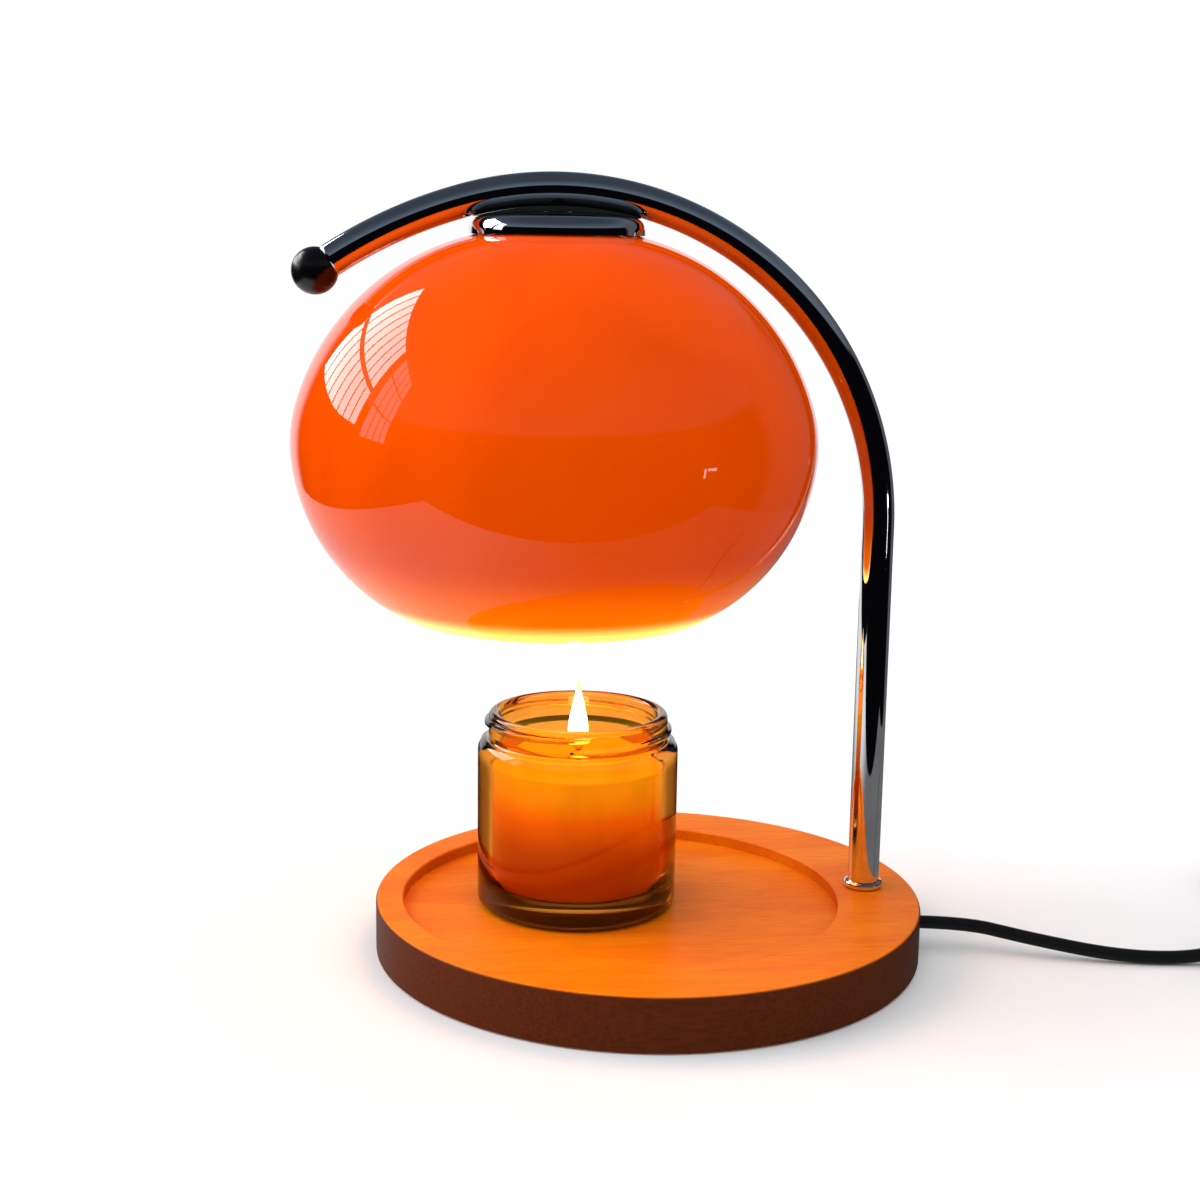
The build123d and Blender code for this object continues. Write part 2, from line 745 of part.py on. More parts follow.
for spot in screw_spots:
    holder -= rod(screw_radius + screw_fit, holder_top - holder_bite - 0.2, holder_top + 1, spot)
parts["lamp_holder"] = holder

contact_low = cavity_low + bulb_gap + pin_head_height + bulb_gap
leaf_y = (contact_split, contact_width)
leaf_low = cavity_high - contact_sheet
leaf = brick((-contact_back, pin_circle + contact_reach), leaf_y, (leaf_low, cavity_high))
leaf += brick((pin_circle - contact_width / 2, pin_circle + contact_width / 2),
              (contact_split - contact_width / 2, contact_width), (contact_low, leaf_low))
parts["holder_contacts"] = [Pos(shade_x, 0, 0) * Rot(0, 0, half) * leaf for half in (0, 180)]
screw_seat = holder_top + bracket_strip
parts["holder_screws"] = []
for spot in screw_spots:
    screw = rod(screw_head_radius, screw_seat, screw_seat + screw_head_height, spot)
    screw += rod(screw_radius, holder_top - holder_bite, screw_seat, spot)
    screw -= brick((spot[0] - 3, spot[0] + 3), (-screw_slot / 2, screw_slot / 2),
                   (screw_seat + screw_head_height - screw_slot, screw_seat + screw_head_height + 1))
    parts["holder_screws"].append(screw)

# ---- bulb
bulb_body = cone(bulb_base_radius, bulb_base_top_radius, reflector_top, bulb_top, axis)
parts["bulb_base"] = bulb_body
head_low = cavity_low + bulb_gap
parts["bulb_pins"] = []
for side in (-pin_circle, pin_circle):
    spot = (shade_x + side, 0.0)
    pin = rod(pin_neck_radius, bulb_top, head_low, spot)
    parts["bulb_pins"].append(pin + rod(pin_head_radius, head_low, head_low + pin_head_height, spot))

rim_high = lens_low + reflector_rim
bowl_out = reflector_radius - reflector_ledge
bowl_middle = (reflector_bulge * bowl_out, (reflector_top + rim_high) / 2)
bowl_in = bowl_out - reflector_wall
neck_in = bulb_base_radius - reflector_wall
rim_in = reflector_radius - reflector_wall / 2
reflector = turned([
    ThreePointArc((bulb_base_radius, 0, reflector_top), (bowl_middle[0], 0, bowl_middle[1]),
                  (bowl_out, 0, rim_high)),
    line_xz((bowl_out, rim_high), (reflector_radius, rim_high)),
    line_xz((reflector_radius, rim_high), (reflector_radius, lens_low)),
    line_xz((reflector_radius, lens_low), (rim_in, lens_low)),
    line_xz((rim_in, lens_low), (rim_in, lens_low + lens_thickness)),
    line_xz((rim_in, lens_low + lens_thickness), (bowl_in, lens_low + lens_thickness)),
    line_xz((bowl_in, lens_low + lens_thickness), (bowl_in, rim_high)),
    ThreePointArc((bowl_in, 0, rim_high), (bowl_middle[0] - reflector_wall, 0, bowl_middle[1]),
                  (neck_in, 0, reflector_top - reflector_wall)),
    line_xz((neck_in, reflector_top - reflector_wall), (capsule_radius, reflector_top - reflector_wall)),
    line_xz((capsule_radius, reflector_top - reflector_wall), (capsule_radius, reflector_top)),
    line_xz((capsule_radius, reflector_top), (bulb_base_radius, reflector_top)),
], axis)
parts["bulb_reflector"] = reflector
parts["bulb_lens"] = rod(rim_in - screw_fit, lens_low, lens_low + lens_thickness, axis)
capsule_top = reflector_top - capsule_foot
capsule_low = capsule_top - capsule_length
foot_radius = capsule_radius - capsule_neck
parts["bulb_capsule"] = turned([
    line_xz((0, reflector_top), (foot_radius, reflector_top)),
    line_xz((foot_radius, reflector_top), (foot_radius, capsule_top + capsule_neck)),
    line_xz((foot_radius, capsule_top + capsule_neck), (capsule_radius, capsule_top)),
    line_xz((capsule_radius, capsule_top), (capsule_radius, capsule_low + capsule_radius)),
    arc_xz((0, capsule_low + capsule_radius), capsule_radius, 0, -90),
    line_xz((0, capsule_low), (0, reflector_top)),
], axis)


# ---- candle: threaded jar, wax, wick and its tab
def make_jar():
    top = jar_low + jar_height
    inner = jar_radius - jar_wall
    neck_low = top - neck_height
    neck_in = neck_radius - neck_wall
    lip = neck_wall / 2
    body_top = neck_low - jar_shoulder
    step = jar_radius - neck_radius
    throat_high = neck_low - neck_inset
    inner_floor = jar_low + jar_floor
    bulge = (neck_radius + jar_shoulder_bulge * step, 0, body_top + jar_shoulder_bulge * jar_shoulder)
    jar = turned([
        line_xz((0, jar_low), (jar_radius - jar_corner, jar_low)),
        arc_xz((jar_radius - jar_corner, jar_low + jar_corner), jar_corner, -90, 0),
        line_xz((jar_radius, jar_low + jar_corner), (jar_radius, body_top)),
        ThreePointArc((jar_radius, 0, body_top), bulge, (neck_radius, 0, neck_low)),
        line_xz((neck_radius, neck_low), (neck_radius, top - lip)),
        arc_xz((neck_radius - lip, top - lip), lip, 0, 180),
        line_xz((neck_in, top - lip), (neck_in, throat_high)),
        line_xz((neck_in, throat_high), (inner, throat_high - (inner - neck_in))),
        line_xz((inner, throat_high - (inner - neck_in)), (inner, inner_floor)),
        line_xz((inner, inner_floor), (0, inner_floor)),
        line_xz((0, inner_floor), (0, jar_low)),
    ])
    rise = thread_pitch * thread_turns
    helix = Helix(thread_pitch, rise, neck_radius - thread_root)
    crest = thread_height + thread_root
    half = thread_width / 2
    section = Plane(origin=helix @ 0, x_dir=(1, 0, 0), z_dir=helix % 0)
    outline = Polyline((0, -half), (crest, -half / 3), (crest, half / 3), (0, half), close=True)
    ridge = sweep(section * make_face(outline), path=helix, is_frenet=True)
    jar += Pos(0, 0, top - thread_top - rise) * Rot(0, 0, thread_start) * ridge
    return Pos(candle[0], candle[1], 0) * jar


parts["candle_jar"] = make_jar()
tab_top = wax_low + wick_tab_thickness
wax_radius = jar_radius - jar_wall - 0.02
wax = rod(wax_radius, wax_low, wax_top, candle) - rod(wick_tab_radius, wax_low - 1, tab_top, candle)
parts["candle_wax"] = wax - rod(wick_radius, wax_low, wax_top + 1, candle)
parts["candle_wick"] = rod(wick_radius, tab_top, wax_top + wick_stand, candle)
parts["wick_tab"] = rod(wick_tab_radius, wax_low, tab_top, candle)

# ---- in-line dimmer
dimmer_x = dimmer_start + dimmer_length / 2
dimmer_at = Pos(dimmer_x, dimmer_y, 0)
wheel_y = -wheel_shift
wheel_low = dimmer_split + 0.8
wheel_high = wheel_low + wheel_thickness
roof = dimmer_height - dimmer_wall
post_spots = [(x, y) for x in (-post_offset_x, post_offset_x) for y in (-post_offset_y, post_offset_y)]
half_length = dimmer_length / 2
cord_bore = level_rod(cord_radius + axle_fit, -half_length - 1, half_length + 1, 0, dimmer_split)
cavity = rounded_brick(dimmer_length - 2 * dimmer_wall, dimmer_width - 2 * dimmer_wall, dimmer_wall,
                       roof, dimmer_corner - dimmer_wall)
case = rounded_brick(dimmer_length, dimmer_width, 0, dimmer_height, dimmer_corner)
case = fillet(case.edges().group_by(Axis.Z)[0] + case.edges().group_by(Axis.Z)[-1], dimmer_edge)
case -= cavity + cord_bore
lower = split(case, Plane.XY.offset(dimmer_split), keep=Keep.BOTTOM)
upper = split(case, Plane.XY.offset(dimmer_split), keep=Keep.TOP)
board_low = dimmer_wall + board_stand
board_high = board_low + board_thickness
tail = axle_grip + wheel_high + wheel_gap
lower += rod(axle_boss, dimmer_wall, wheel_low - wheel_gap, (0, wheel_y))
lower += rod(axle_radius, wheel_low - wheel_gap, tail, (0, wheel_y))
upper -= rod(wheel_radius + wheel_side_gap, wheel_low - wheel_gap, wheel_high + wheel_gap, (0, wheel_y))
upper += rod(axle_boss, wheel_high + wheel_gap, roof, (0, wheel_y))
upper -= rod(axle_radius + 3 * axle_fit, wheel_high, tail + 0.2, (0, wheel_y))
case_screws = []
for spot in post_spots:
    lower += rod(post_radius + board_ledge, dimmer_wall, board_low, spot)
    lower += rod(post_radius, board_low, dimmer_split, spot)
    lower -= rod(screw_head_radius + wire_clearance, -1, screw_head_height, spot)
    lower -= rod(screw_radius + screw_fit, 0, dimmer_split + 1, spot)
    upper += rod(post_radius, dimmer_split, roof, spot)
    upper -= rod(screw_radius + screw_fit, dimmer_split - 1, dimmer_split + 2 * screw_bite + 0.2, spot)
    case_screws.append(dimmer_at * screw_up(spot, screw_head_height, dimmer_split + 2 * screw_bite))
parts["dimmer_lower"] = dimmer_at * lower
parts["dimmer_upper"] = dimmer_at * upper
parts["dimmer_screws"] = case_screws

wheel = ring(wheel_radius, axle_radius + axle_fit, wheel_low, wheel_high)
for index in range(wheel_notches):
    spot = on_circle((0, 0), wheel_radius, 360 / wheel_notches * index)
    wheel -= rod(wheel_notch, wheel_low - 1, wheel_high + 1, spot)
parts["dimmer_wheel"] = dimmer_at * Pos(0, wheel_y, 0) * wheel

half_board = board_length / 2
board = brick((-half_board, half_board), (-board_width / 2, board_width / 2), (board_low, board_high))
board -= rod(axle_boss + axle_fit, 0, dimmer_height, (0, wheel_y))
for spot in post_spots:
    board -= rod(post_radius + axle_fit, 0, dimmer_height, spot)
parts["dimmer_board"] = dimmer_at * board
part_y = (board_width / 2 - chip_width, board_width / 2)
chip_ends = (chip_offset - chip_thickness, chip_offset)
parts["board_parts"] = [dimmer_at * brick(x, part_y, (board_high, board_high + chip_height))
                        for x in ((-chip_ends[1], -chip_ends[0]), chip_ends)]
terminal_z = (board_high, board_high + terminal_height)
parts["dimmer_terminals"] = [
    dimmer_at * brick(x, (-terminal_width / 2, terminal_width / 2), terminal_z)
    for x in ((-half_board, terminal_length - half_board), (half_board - terminal_length, half_board))]

# ---- coil, its tie, and the free stretches of cord
half_width = coil_pitch * (coil_columns - 1) / 2 + cord_radius
coil_height = coil_row_pitch * (coil_rows - 1) + 2 * cord_radius
coil_inner, coil_outer = coil_radius - half_width, coil_radius + half_width
coil = Pos(0, 0, coil_lift) * extrude(Circle(coil_outer) - Circle(coil_inner), coil_height)
coil = fillet(coil.edges().filter_by(GeomType.CIRCLE), cord_radius * 0.9)
coil = Pos(coil_x, coil_y, 0) * coil
parts["cord_coil"] = coil
tie_low, tie_high = coil_lift - tie_fit, coil_lift + coil_height + tie_fit
tie_radial = (sqrt(coil_inner**2 - (tie_width / 2) ** 2) - tie_fit, coil_outer + tie_fit)
tie = brick((tie_radial[0] - tie_thickness, tie_radial[1] + tie_thickness),
            (-tie_width / 2, tie_width / 2), (tie_low - tie_thickness, tie_high + tie_thickness))
tie -= brick(tie_radial, (-tie_width, tie_width), (tie_low, tie_high))
parts["coil_tie"] = Pos(coil_x, coil_y, 0) * Rot(0, 0, tie_angle) * tie

parts["cord_to_dimmer"] = cord_tube(cord_to_dimmer, cord_radius, "cord to dimmer")
parts["cord_to_coil"] = cord_tube(cord_to_coil, cord_radius, "cord to coil") - coil
parts["cord_to_plug"] = cord_tube(cord_to_plug, cord_radius, "cord to plug") - coil

# ---- plug, built along +X and laid in line with the end of the cord
plug_place = Plane(origin=plug_at, x_dir=plug_along, z_dir=(0, 0, 1))
relief = Rot(0, 90, 0) * cone(relief_start_radius, relief_end_radius, 0, relief_length)
groove_pitch = relief_length / (relief_grooves + 1)
for index in range(relief_grooves):
    place = groove_pitch * (index + relief_groove_start)
    groove = ring(2 * relief_end_radius, cord_radius + relief_core, place, place + relief_groove)
    relief -= Rot(0, 90, 0) * groove
parts["plug_strain_relief"] = plug_place * relief
body = Pos(relief_length + plug_length / 2, 0, 0) * Box(plug_length, plug_width, plug_height)
body = fillet(body.edges().filter_by(Axis.X), plug_round)
body = fillet(body.faces().sort_by(Axis.X)[0].edges(), plug_round / 2)
parts["plug_body"] = plug_place * body
blades = []
blade_start = relief_length + plug_length
for side in (-blade_spacing / 2, blade_spacing / 2):
    blade_at = Pos(blade_start + blade_length / 2, side, 0)
    blade = blade_at * Box(blade_length, blade_thickness, blade_height)
    tips = blade.edges().filter_by(Axis.Y).group_by(Axis.X)[-1]
    blade = chamfer(tips, blade_chamfer)
    hole_x = blade_start + blade_length - blade_hole_inset
    blade -= Pos(hole_x, side, 0) * Rot(90, 0, 0) * Cylinder(blade_hole, 2 * blade_thickness)
    blades.append(plug_place * blade)
parts["plug_blades"] = blades

for name, shape in parts.items():
    if isinstance(shape, list):
        shape = Compound(children=[Compound(piece.wrapped) for piece in shape])
    export_step(shape, f"parts/{name}.step")
print(len(parts), "nodes")
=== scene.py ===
import bpy
import bmesh
from math import cos, pi, radians, sin, sqrt
from mathutils import Matrix, Vector


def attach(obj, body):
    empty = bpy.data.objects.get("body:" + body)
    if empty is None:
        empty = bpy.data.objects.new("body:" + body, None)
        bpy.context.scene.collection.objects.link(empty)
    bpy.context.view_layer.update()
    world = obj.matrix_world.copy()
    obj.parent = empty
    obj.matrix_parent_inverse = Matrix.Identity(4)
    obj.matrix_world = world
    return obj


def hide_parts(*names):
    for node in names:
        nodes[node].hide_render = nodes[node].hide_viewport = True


# Candle warmer lamp: wooden tray, bent chrome arm, orange glass shade and a jar candle.
# Sizes are in millimetres and become metres where a mesh is made.

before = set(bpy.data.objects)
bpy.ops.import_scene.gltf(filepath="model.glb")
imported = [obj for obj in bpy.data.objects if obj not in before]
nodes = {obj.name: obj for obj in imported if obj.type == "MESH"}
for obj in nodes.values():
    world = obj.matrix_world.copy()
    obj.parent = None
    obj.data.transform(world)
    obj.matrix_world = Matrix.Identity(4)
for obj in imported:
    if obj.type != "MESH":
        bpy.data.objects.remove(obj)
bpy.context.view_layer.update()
mm = 0.001
print("frame loaded")


# one output of a node tree, so that sums on it can be written as sums
class Signal:
    def __init__(self, tree, output):
        self.tree = tree
        self.output = output

    def math(self, operation, *others):
        return self.tree.add("ShaderNodeMath", {"operation": operation}, [self, *others])

    def __add__(self, other):
        return self.math("ADD", other)

    def __sub__(self, other):
        return self.math("SUBTRACT", other)

    def __mul__(self, other):
        return self.math("MULTIPLY", other)

    def __truediv__(self, other):
        return self.math("DIVIDE", other)

    def __pow__(self, other):
        return self.math("POWER", other)

    def __rsub__(self, other):
        return self.tree.add("ShaderNodeMath", {"operation": "SUBTRACT"}, [other, self])

    __radd__ = __add__
    __rmul__ = __mul__


class Tree:
    def __init__(self, nodeTree):
        self.nodes = nodeTree.nodes
        self.links = nodeTree.links

    # a node of any kind: its settings first, then what its inputs take
    def add(self, kind, settings=None, inputs=None, out=0):
        node = self.nodes.new(kind)
        for name, value in (settings or {}).items():
            if name == "stops":
                setStops(node.color_ramp, value)
            else:
                setattr(node, name, value)
        pairs = enumerate(inputs) if isinstance(inputs, list) else (inputs or {}).items()
        for key, value in pairs:
            self.feed(node.inputs[key], value)
        return Signal(self, node.outputs[out])

    def feed(self, target, value):
        if isinstance(value, Signal):
            self.links.new(value.output, target)
        else:
            target.default_value = value

    def blend(self, factor, first, second):
        return self.add("ShaderNodeMix", {"data_type": "RGBA"}, {0: factor, 6: first, 7: second}, 2)

    def between(self, value, low, high, start=0.0, end=1.0):
        inputs = [value, low, high, start, end]
        return self.add("ShaderNodeMapRange", {"interpolation_type": "SMOOTHSTEP"}, inputs)

    def axis(self, vector, letter):
        return self.add("ShaderNodeSeparateXYZ", {}, [vector], letter)


def setStops(ramp, stops):
    while len(ramp.elements) < len(stops):
        ramp.elements.new(1.0)
    for element, (place, colour) in zip(ramp.elements, stops):
        element.position = place
        element.color = colour


# a material with one Principled shader; plain numbers go straight to its sockets
class Finish(Tree):
    def __init__(self, name, settings):
        self.material = bpy.data.materials.new(name)
        self.material.use_nodes = True
        super().__init__(self.material.node_tree)
        self.shader = self.nodes["Principled BSDF"]
        self.place = self.add("ShaderNodeTexCoord", out="Object")
        self.set(settings)

    def set(self, settings):
        for name, value in settings.items():
            self.feed(self.shader.inputs[name], value)

    def noise(self, scale, detail=3.0, stretch=(1, 1, 1), turn=0.0, distortion=0.0):
        placed = {"Vector": self.place, "Rotation": (0, 0, turn), "Scale": stretch}
        moved = self.add("ShaderNodeMapping", {}, placed)
        inputs = {"Vector": moved, "Scale": scale, "Detail": detail, "Distortion": distortion}
        return self.add("ShaderNodeTexNoise", {}, inputs)

    def bump(self, height, strength, depth):
        inputs = {"Strength": strength, "Distance": depth * mm, "Height": height}
        self.set({"Normal": self.add("ShaderNodeBump", {}, inputs)})


# a hex code as the linear colour that Blender takes
def tint(code, gain=1.0):
    parts = [int(code[i:i + 2], 16) / 255 for i in (0, 2, 4)]
    linear = [c / 12.92 if c < 0.04045 else ((c + 0.055) / 1.055) ** 2.4 for c in parts]
    return [gain * c for c in linear] + [1.0]


def dimmed(colour, share):
    return [share * c for c in colour[:3]] + [1.0]


# camera
view = {
    "place": (-81.194, -561.904, 219.372),
    "azimuth": -0.11441,
    "pitch": 0.18837,
    "roll": 0.0150,
    "lens": 55.99,
}


def makeCamera():
    data = bpy.data.cameras.new("camera")
    data.lens = view["lens"]
    data.sensor_width = 36.0
    data.clip_start = 0.01
    turn, pitch, roll = view["azimuth"], view["pitch"], view["roll"]
    ahead = Vector((-sin(turn) * cos(pitch), cos(turn) * cos(pitch), -sin(pitch)))
    level = Vector((cos(turn), sin(turn), 0.0))
    upright = level.cross(ahead)
    side = cos(roll) * level + sin(roll) * upright
    top = -sin(roll) * level + cos(roll) * upright
    camera = bpy.data.objects.new("camera", data)
    place = Matrix.Translation(Vector(view["place"]) * mm)
    camera.matrix_world = place @ Matrix((side, top, -ahead)).transposed().to_4x4()
    bpy.context.scene.collection.objects.link(camera)
    bpy.context.scene.camera = camera


makeCamera()
bpy.context.scene.view_settings.view_transform = "Standard"
print("camera set")


# finishes
def moulded(name, colour, roughness, grain=0.25, scale=1400.0):
    finish = Finish(name, {})
    fine = finish.noise(scale, 2.0)
    cloud = finish.noise(90.0, 3.0)
    mottle = finish.between(cloud, 0.35, 0.7)
    finish.set({"Base Color": finish.blend(mottle, colour, dimmed(colour, 0.82))})
    finish.set({"Roughness": roughness + 0.14 * (cloud - 0.5)})
    finish.bump(fine, grain, 0.08)
    return finish.material


def metal(name, colour, roughness, brush=0.0, scale=700.0):
    finish = Finish(name, {"Metallic": 1.0})
    smear = finish.noise(60.0, 4.0)
    streak = finish.noise(scale, 2.0, (1, 1, 6))
    mottle = finish.between(smear, 0.45, 0.75)
    finish.set({"Base Color": finish.blend(mottle, colour, dimmed(colour, 0.86))})
    smeared = roughness + 0.35 * roughness * (smear - 0.5)
    finish.set({"Roughness": smeared + 0.2 * brush * (streak - 0.5)})
    finish.bump(streak, brush, 0.03)
    return finish.material


wood = {
    "light": "fd8e0c",
    "middle": "f47c06",
    "dark": "b04c06",
    "depth": 0.66,  # how bright the three are
    "edge": "6e2f0e",  # darker stain that soaks into the turned side, deepened with painted shade
    "sideStainShadeDepths": (0.62, 0.3),
    "edgeReach": 85.3,
    "turn": radians(-38.0),  # way of the grain
    "gloss": 0.42,
}


def stainedWood():
    finish = Finish("stainedWood", {"Specular IOR Level": 0.07})
    turn = wood["turn"]
    bands = finish.noise(30.0, 4.0, (0.6, 3.2, 1.6), turn, 0.6)
    fibres = finish.noise(300.0, 4.0, (0.4, 7.0, 4.0), turn, 0.3)
    pores = finish.noise(700.0, 2.0, (0.2, 5.0, 3.0), turn)
    stain = finish.noise(14.0, 3.0)
    light = tint(wood["light"], wood["depth"])
    middle = tint(wood["middle"], wood["depth"])
    dark = tint(wood["dark"], wood["depth"])
    colour = finish.blend(finish.between(bands, 0.32, 0.68), light, middle)
    colour = finish.blend(finish.between(fibres, 0.45, 0.8) * 0.42, colour, dark)
    colour = finish.blend(finish.between(pores, 0.62, 0.74) * 0.35, colour, dimmed(dark, 0.6))
    colour = finish.blend(finish.between(stain, 0.45, 0.75) * 0.2, colour, dark)
    x, y = [finish.axis(finish.place, letter) / mm for letter in "XY"]
    reach = (x * x + y * y) ** 0.5
    # the turned side is darker: partly its darker stain, partly painted shade where it gets less
    # light
    pale, deep = [tint(wood["edge"], depth) for depth in wood["sideStainShadeDepths"]]
    edge = finish.blend(finish.between(fibres, 0.3, 0.75) * 0.6, pale, deep)
    sideStainAndShade = finish.between(reach, wood["edgeReach"], wood["edgeReach"] + 0.6)
    colour = finish.blend(sideStainAndShade, colour, edge)
    finish.set({"Base Color": colour, "Roughness": wood["gloss"] + 0.2 * (fibres - 0.5)})
    finish.bump(fibres - 0.8 * finish.between(pores, 0.6, 0.75), 0.22, 0.10)
    return finish.material


glow = {
    "glass": "e44b00",
    "deep": "da4400",
    "body": ("ff5a00", 0.03),  # colour and strength of what shines through
    "low": ("ff8800", 0.6),
    "rim": ("ffd868", 1.8),
    "rimHeight": 107.8,
    "rimReach": 7.5,
    "lowReach": 26.0,
    "liningLow": ("ffb45a", 3.0),
    "liningHigh": ("ff8a2a", 1.5),
    "liningHeights": (108.0, 190.0),
}


def orangeGlass():
    finish = Finish("orangeGlass", {"IOR": 1.5, "Emission Strength": 1.0})
    swirl = finish.noise(16.0, 3.0, (1, 1, 0.5), 0.0, 0.8)
    seeds = finish.noise(900.0, 1.0)
    streaks = finish.between(swirl, 0.35, 0.7)
    colour = finish.blend(streaks, tint(glow["glass"]), tint(glow["deep"]))
    height = finish.axis(finish.place, "Z") / mm
    edge = glow["rimHeight"]
    low = finish.between(height, edge + glow["lowReach"], edge + 1.0)
    rim = finish.between(height, edge + glow["rimReach"], edge)
    light = finish.blend(low, tint(*glow["body"]), tint(*glow["low"]))
    light = finish.blend(rim, light, tint(*glow["rim"]))
    finish.set({"Base Color": colour, "Emission Color": light})
    finish.set({"Roughness": 0.004 + 0.008 * swirl})
    finish.bump(seeds, 0.01, 0.005)
    return finish.material


def opalLining():
    finish = Finish("opalLining", {"Emission Strength": 1.0, "IOR": 1.5})
    cloud = finish.noise(40.0, 3.0)
    height = finish.axis(finish.place, "Z") / mm
    level = finish.between(height, *glow["liningHeights"])
    light = finish.blend(level, tint(*glow["liningLow"]), tint(*glow["liningHigh"]))
    colour = finish.blend(cloud, tint("fff2e0"), tint("ffe2c0"))
    finish.set({"Base Color": colour, "Emission Color": light})
    finish.set({"Roughness": 0.18 + 0.08 * cloud})
    return finish.material


amber = {
    "pale": "f7a640",
    "deep": "e07c1c",
    "edge": "2c0e02",  # glass seen edge on, darker for its longer way through the glass and with painted shade for the dark room seen through it
    "wall": "340e02",
    "wallShadeHeights": (65.0, 60.0),
    "foot": "260a02",
    "footHeights": (22.5, 19.0),
}


def amberGlass():
    finish = Finish("amberGlass", {"Transmission Weight": 1.0, "IOR": 1.5})
    swirl = finish.noise(30.0, 3.0, (1, 1, 0.4), 0.0, 1.0)
    colour = finish.blend(swirl, tint(amber["pale"]), tint(amber["deep"]))
    height = finish.axis(finish.place, "Z") / mm
    # edges and lower walls are darkened: partly the longer way through the glass, partly painted
    # shade for the dark room seen through it
    slant = finish.add("ShaderNodeLayerWeight", {}, {"Blend": 0.5}, 1)
    colour = finish.blend(finish.between(slant, 0.62, 0.95), colour, tint(amber["edge"]))
    wall = finish.between(slant, 0.44, 0.60) * finish.between(height, *amber["wallShadeHeights"])
    colour = finish.blend(wall * (0.75 + 0.25 * swirl), colour, tint(amber["wall"]))
    foot = finish.between(height, *amber["footHeights"])
    finish.set({"Base Color": finish.blend(foot, colour, tint(amber["foot"]))})
    finish.set({"Roughness": 0.01 + 0.02 * swirl})
    finish.bump(swirl, 0.10, 0.25)
    return finish.material


# clear when it is given no light
def clearGlass(name, light=None):
    settings = {"Transmission Weight": 1.0, "IOR": 1.5}
    if light:
        settings = {"IOR": 1.5, "Emission Strength": light}
    finish = Finish(name, settings)
    frost = finish.noise(500.0, 2.0)
    finish.set({"Base Color": finish.blend(frost, tint("ffffff"), tint("fff0dc"))})
    if light:
        finish.set({"Emission Color": finish.blend(frost, tint("ffd9a0"), tint("ffc070"))})
    finish.set({"Roughness": 0.06 + 0.1 * frost})
    return finish.material


wax = {
    "pale": "c88a4a",
    "deep": "b8763a",
    "cloud": "7a3000",
    "heights": (20.0, 60.0),
    "stops": ((0.0, "6a3000"), (0.4, "ab5a00"), (0.75, "f09400"), (1.0, "fff030")),  # flame light
}


def candleWax():
    finish = Finish("candleWax", {"Emission Strength": 1.0})
    cloud = finish.noise(70.0, 4.0, (1, 1, 0.5))
    height = finish.axis(finish.place, "Z") / mm
    level = finish.between(height, *wax["heights"])
    stops = [(place, tint(code)) for place, code in wax["stops"]]
    light = finish.add("ShaderNodeValToRGB", {"stops": stops}, [level])
    light = finish.blend(finish.between(cloud, 0.4, 0.8) * 0.25, light, tint(wax["cloud"]))
    colour = finish.blend(cloud, tint(wax["pale"]), tint(wax["deep"]))
    finish.set({"Base Color": colour, "Emission Color": light})
    finish.set({"Roughness": 0.42 + 0.1 * cloud})
    finish.bump(cloud, 0.12, 0.3)
    return finish.material


def cottonWick():
    finish = Finish("cottonWick", {"Emission Strength": 1.0})
    height = finish.axis(finish.place, "Z") / mm
    twist = finish.noise(1800.0, 2.0, (1, 1, 0.4))
    char = finish.between(height, 59.0, 62.0)
    cotton = finish.blend(twist, tint("f2e6d0"), tint("c8b490"))
    colour = finish.blend(char, cotton, tint("1a1210"))
    ember = finish.between(height, 64.5, 66.0)
    finish.set({"Base Color": colour, "Roughness": 0.8 + 0.1 * twist})
    finish.set({"Emission Color": finish.blend(ember, tint("000000"), tint("ff6a10", 3.0))})
    finish.bump(twist, 0.5, 0.15)
    return finish.material


flame = {
    "strength": 9.0,
    "heights": (62.0, 85.0),
    "stops": ((0.0, "5a2a10"), (0.18, "ffb050"), (0.4, "fff0b8"), (0.8, "ffe890"), (1.0, "ff9a30")),
    "segments": 48,
    "outline": ((0.0, 62.6), (0.9, 62.9), (1.9, 64.0), (2.7, 65.6), (3.2, 67.6), (3.25, 69.6),
                (2.95, 72.0), (2.35, 75.0), (1.6, 78.4), (0.9, 81.6), (0.35, 84.2), (0.0, 85.2)),
}


def flameLight():
    settings = {"Base Color": (0, 0, 0, 1), "Specular IOR Level": 0.0}
    finish = Finish("flameLight", {**settings, "Emission Strength": flame["strength"]})
    height = finish.axis(finish.place, "Z") / mm
    level = finish.between(height, *flame["heights"])
    stops = [(place, tint(code)) for place, code in flame["stops"]]
    colour = finish.add("ShaderNodeValToRGB", {"stops": stops}, [level])
    finish.set({"Emission Color": colour, "Roughness": 0.9 + 0.05 * level})
    return finish.material


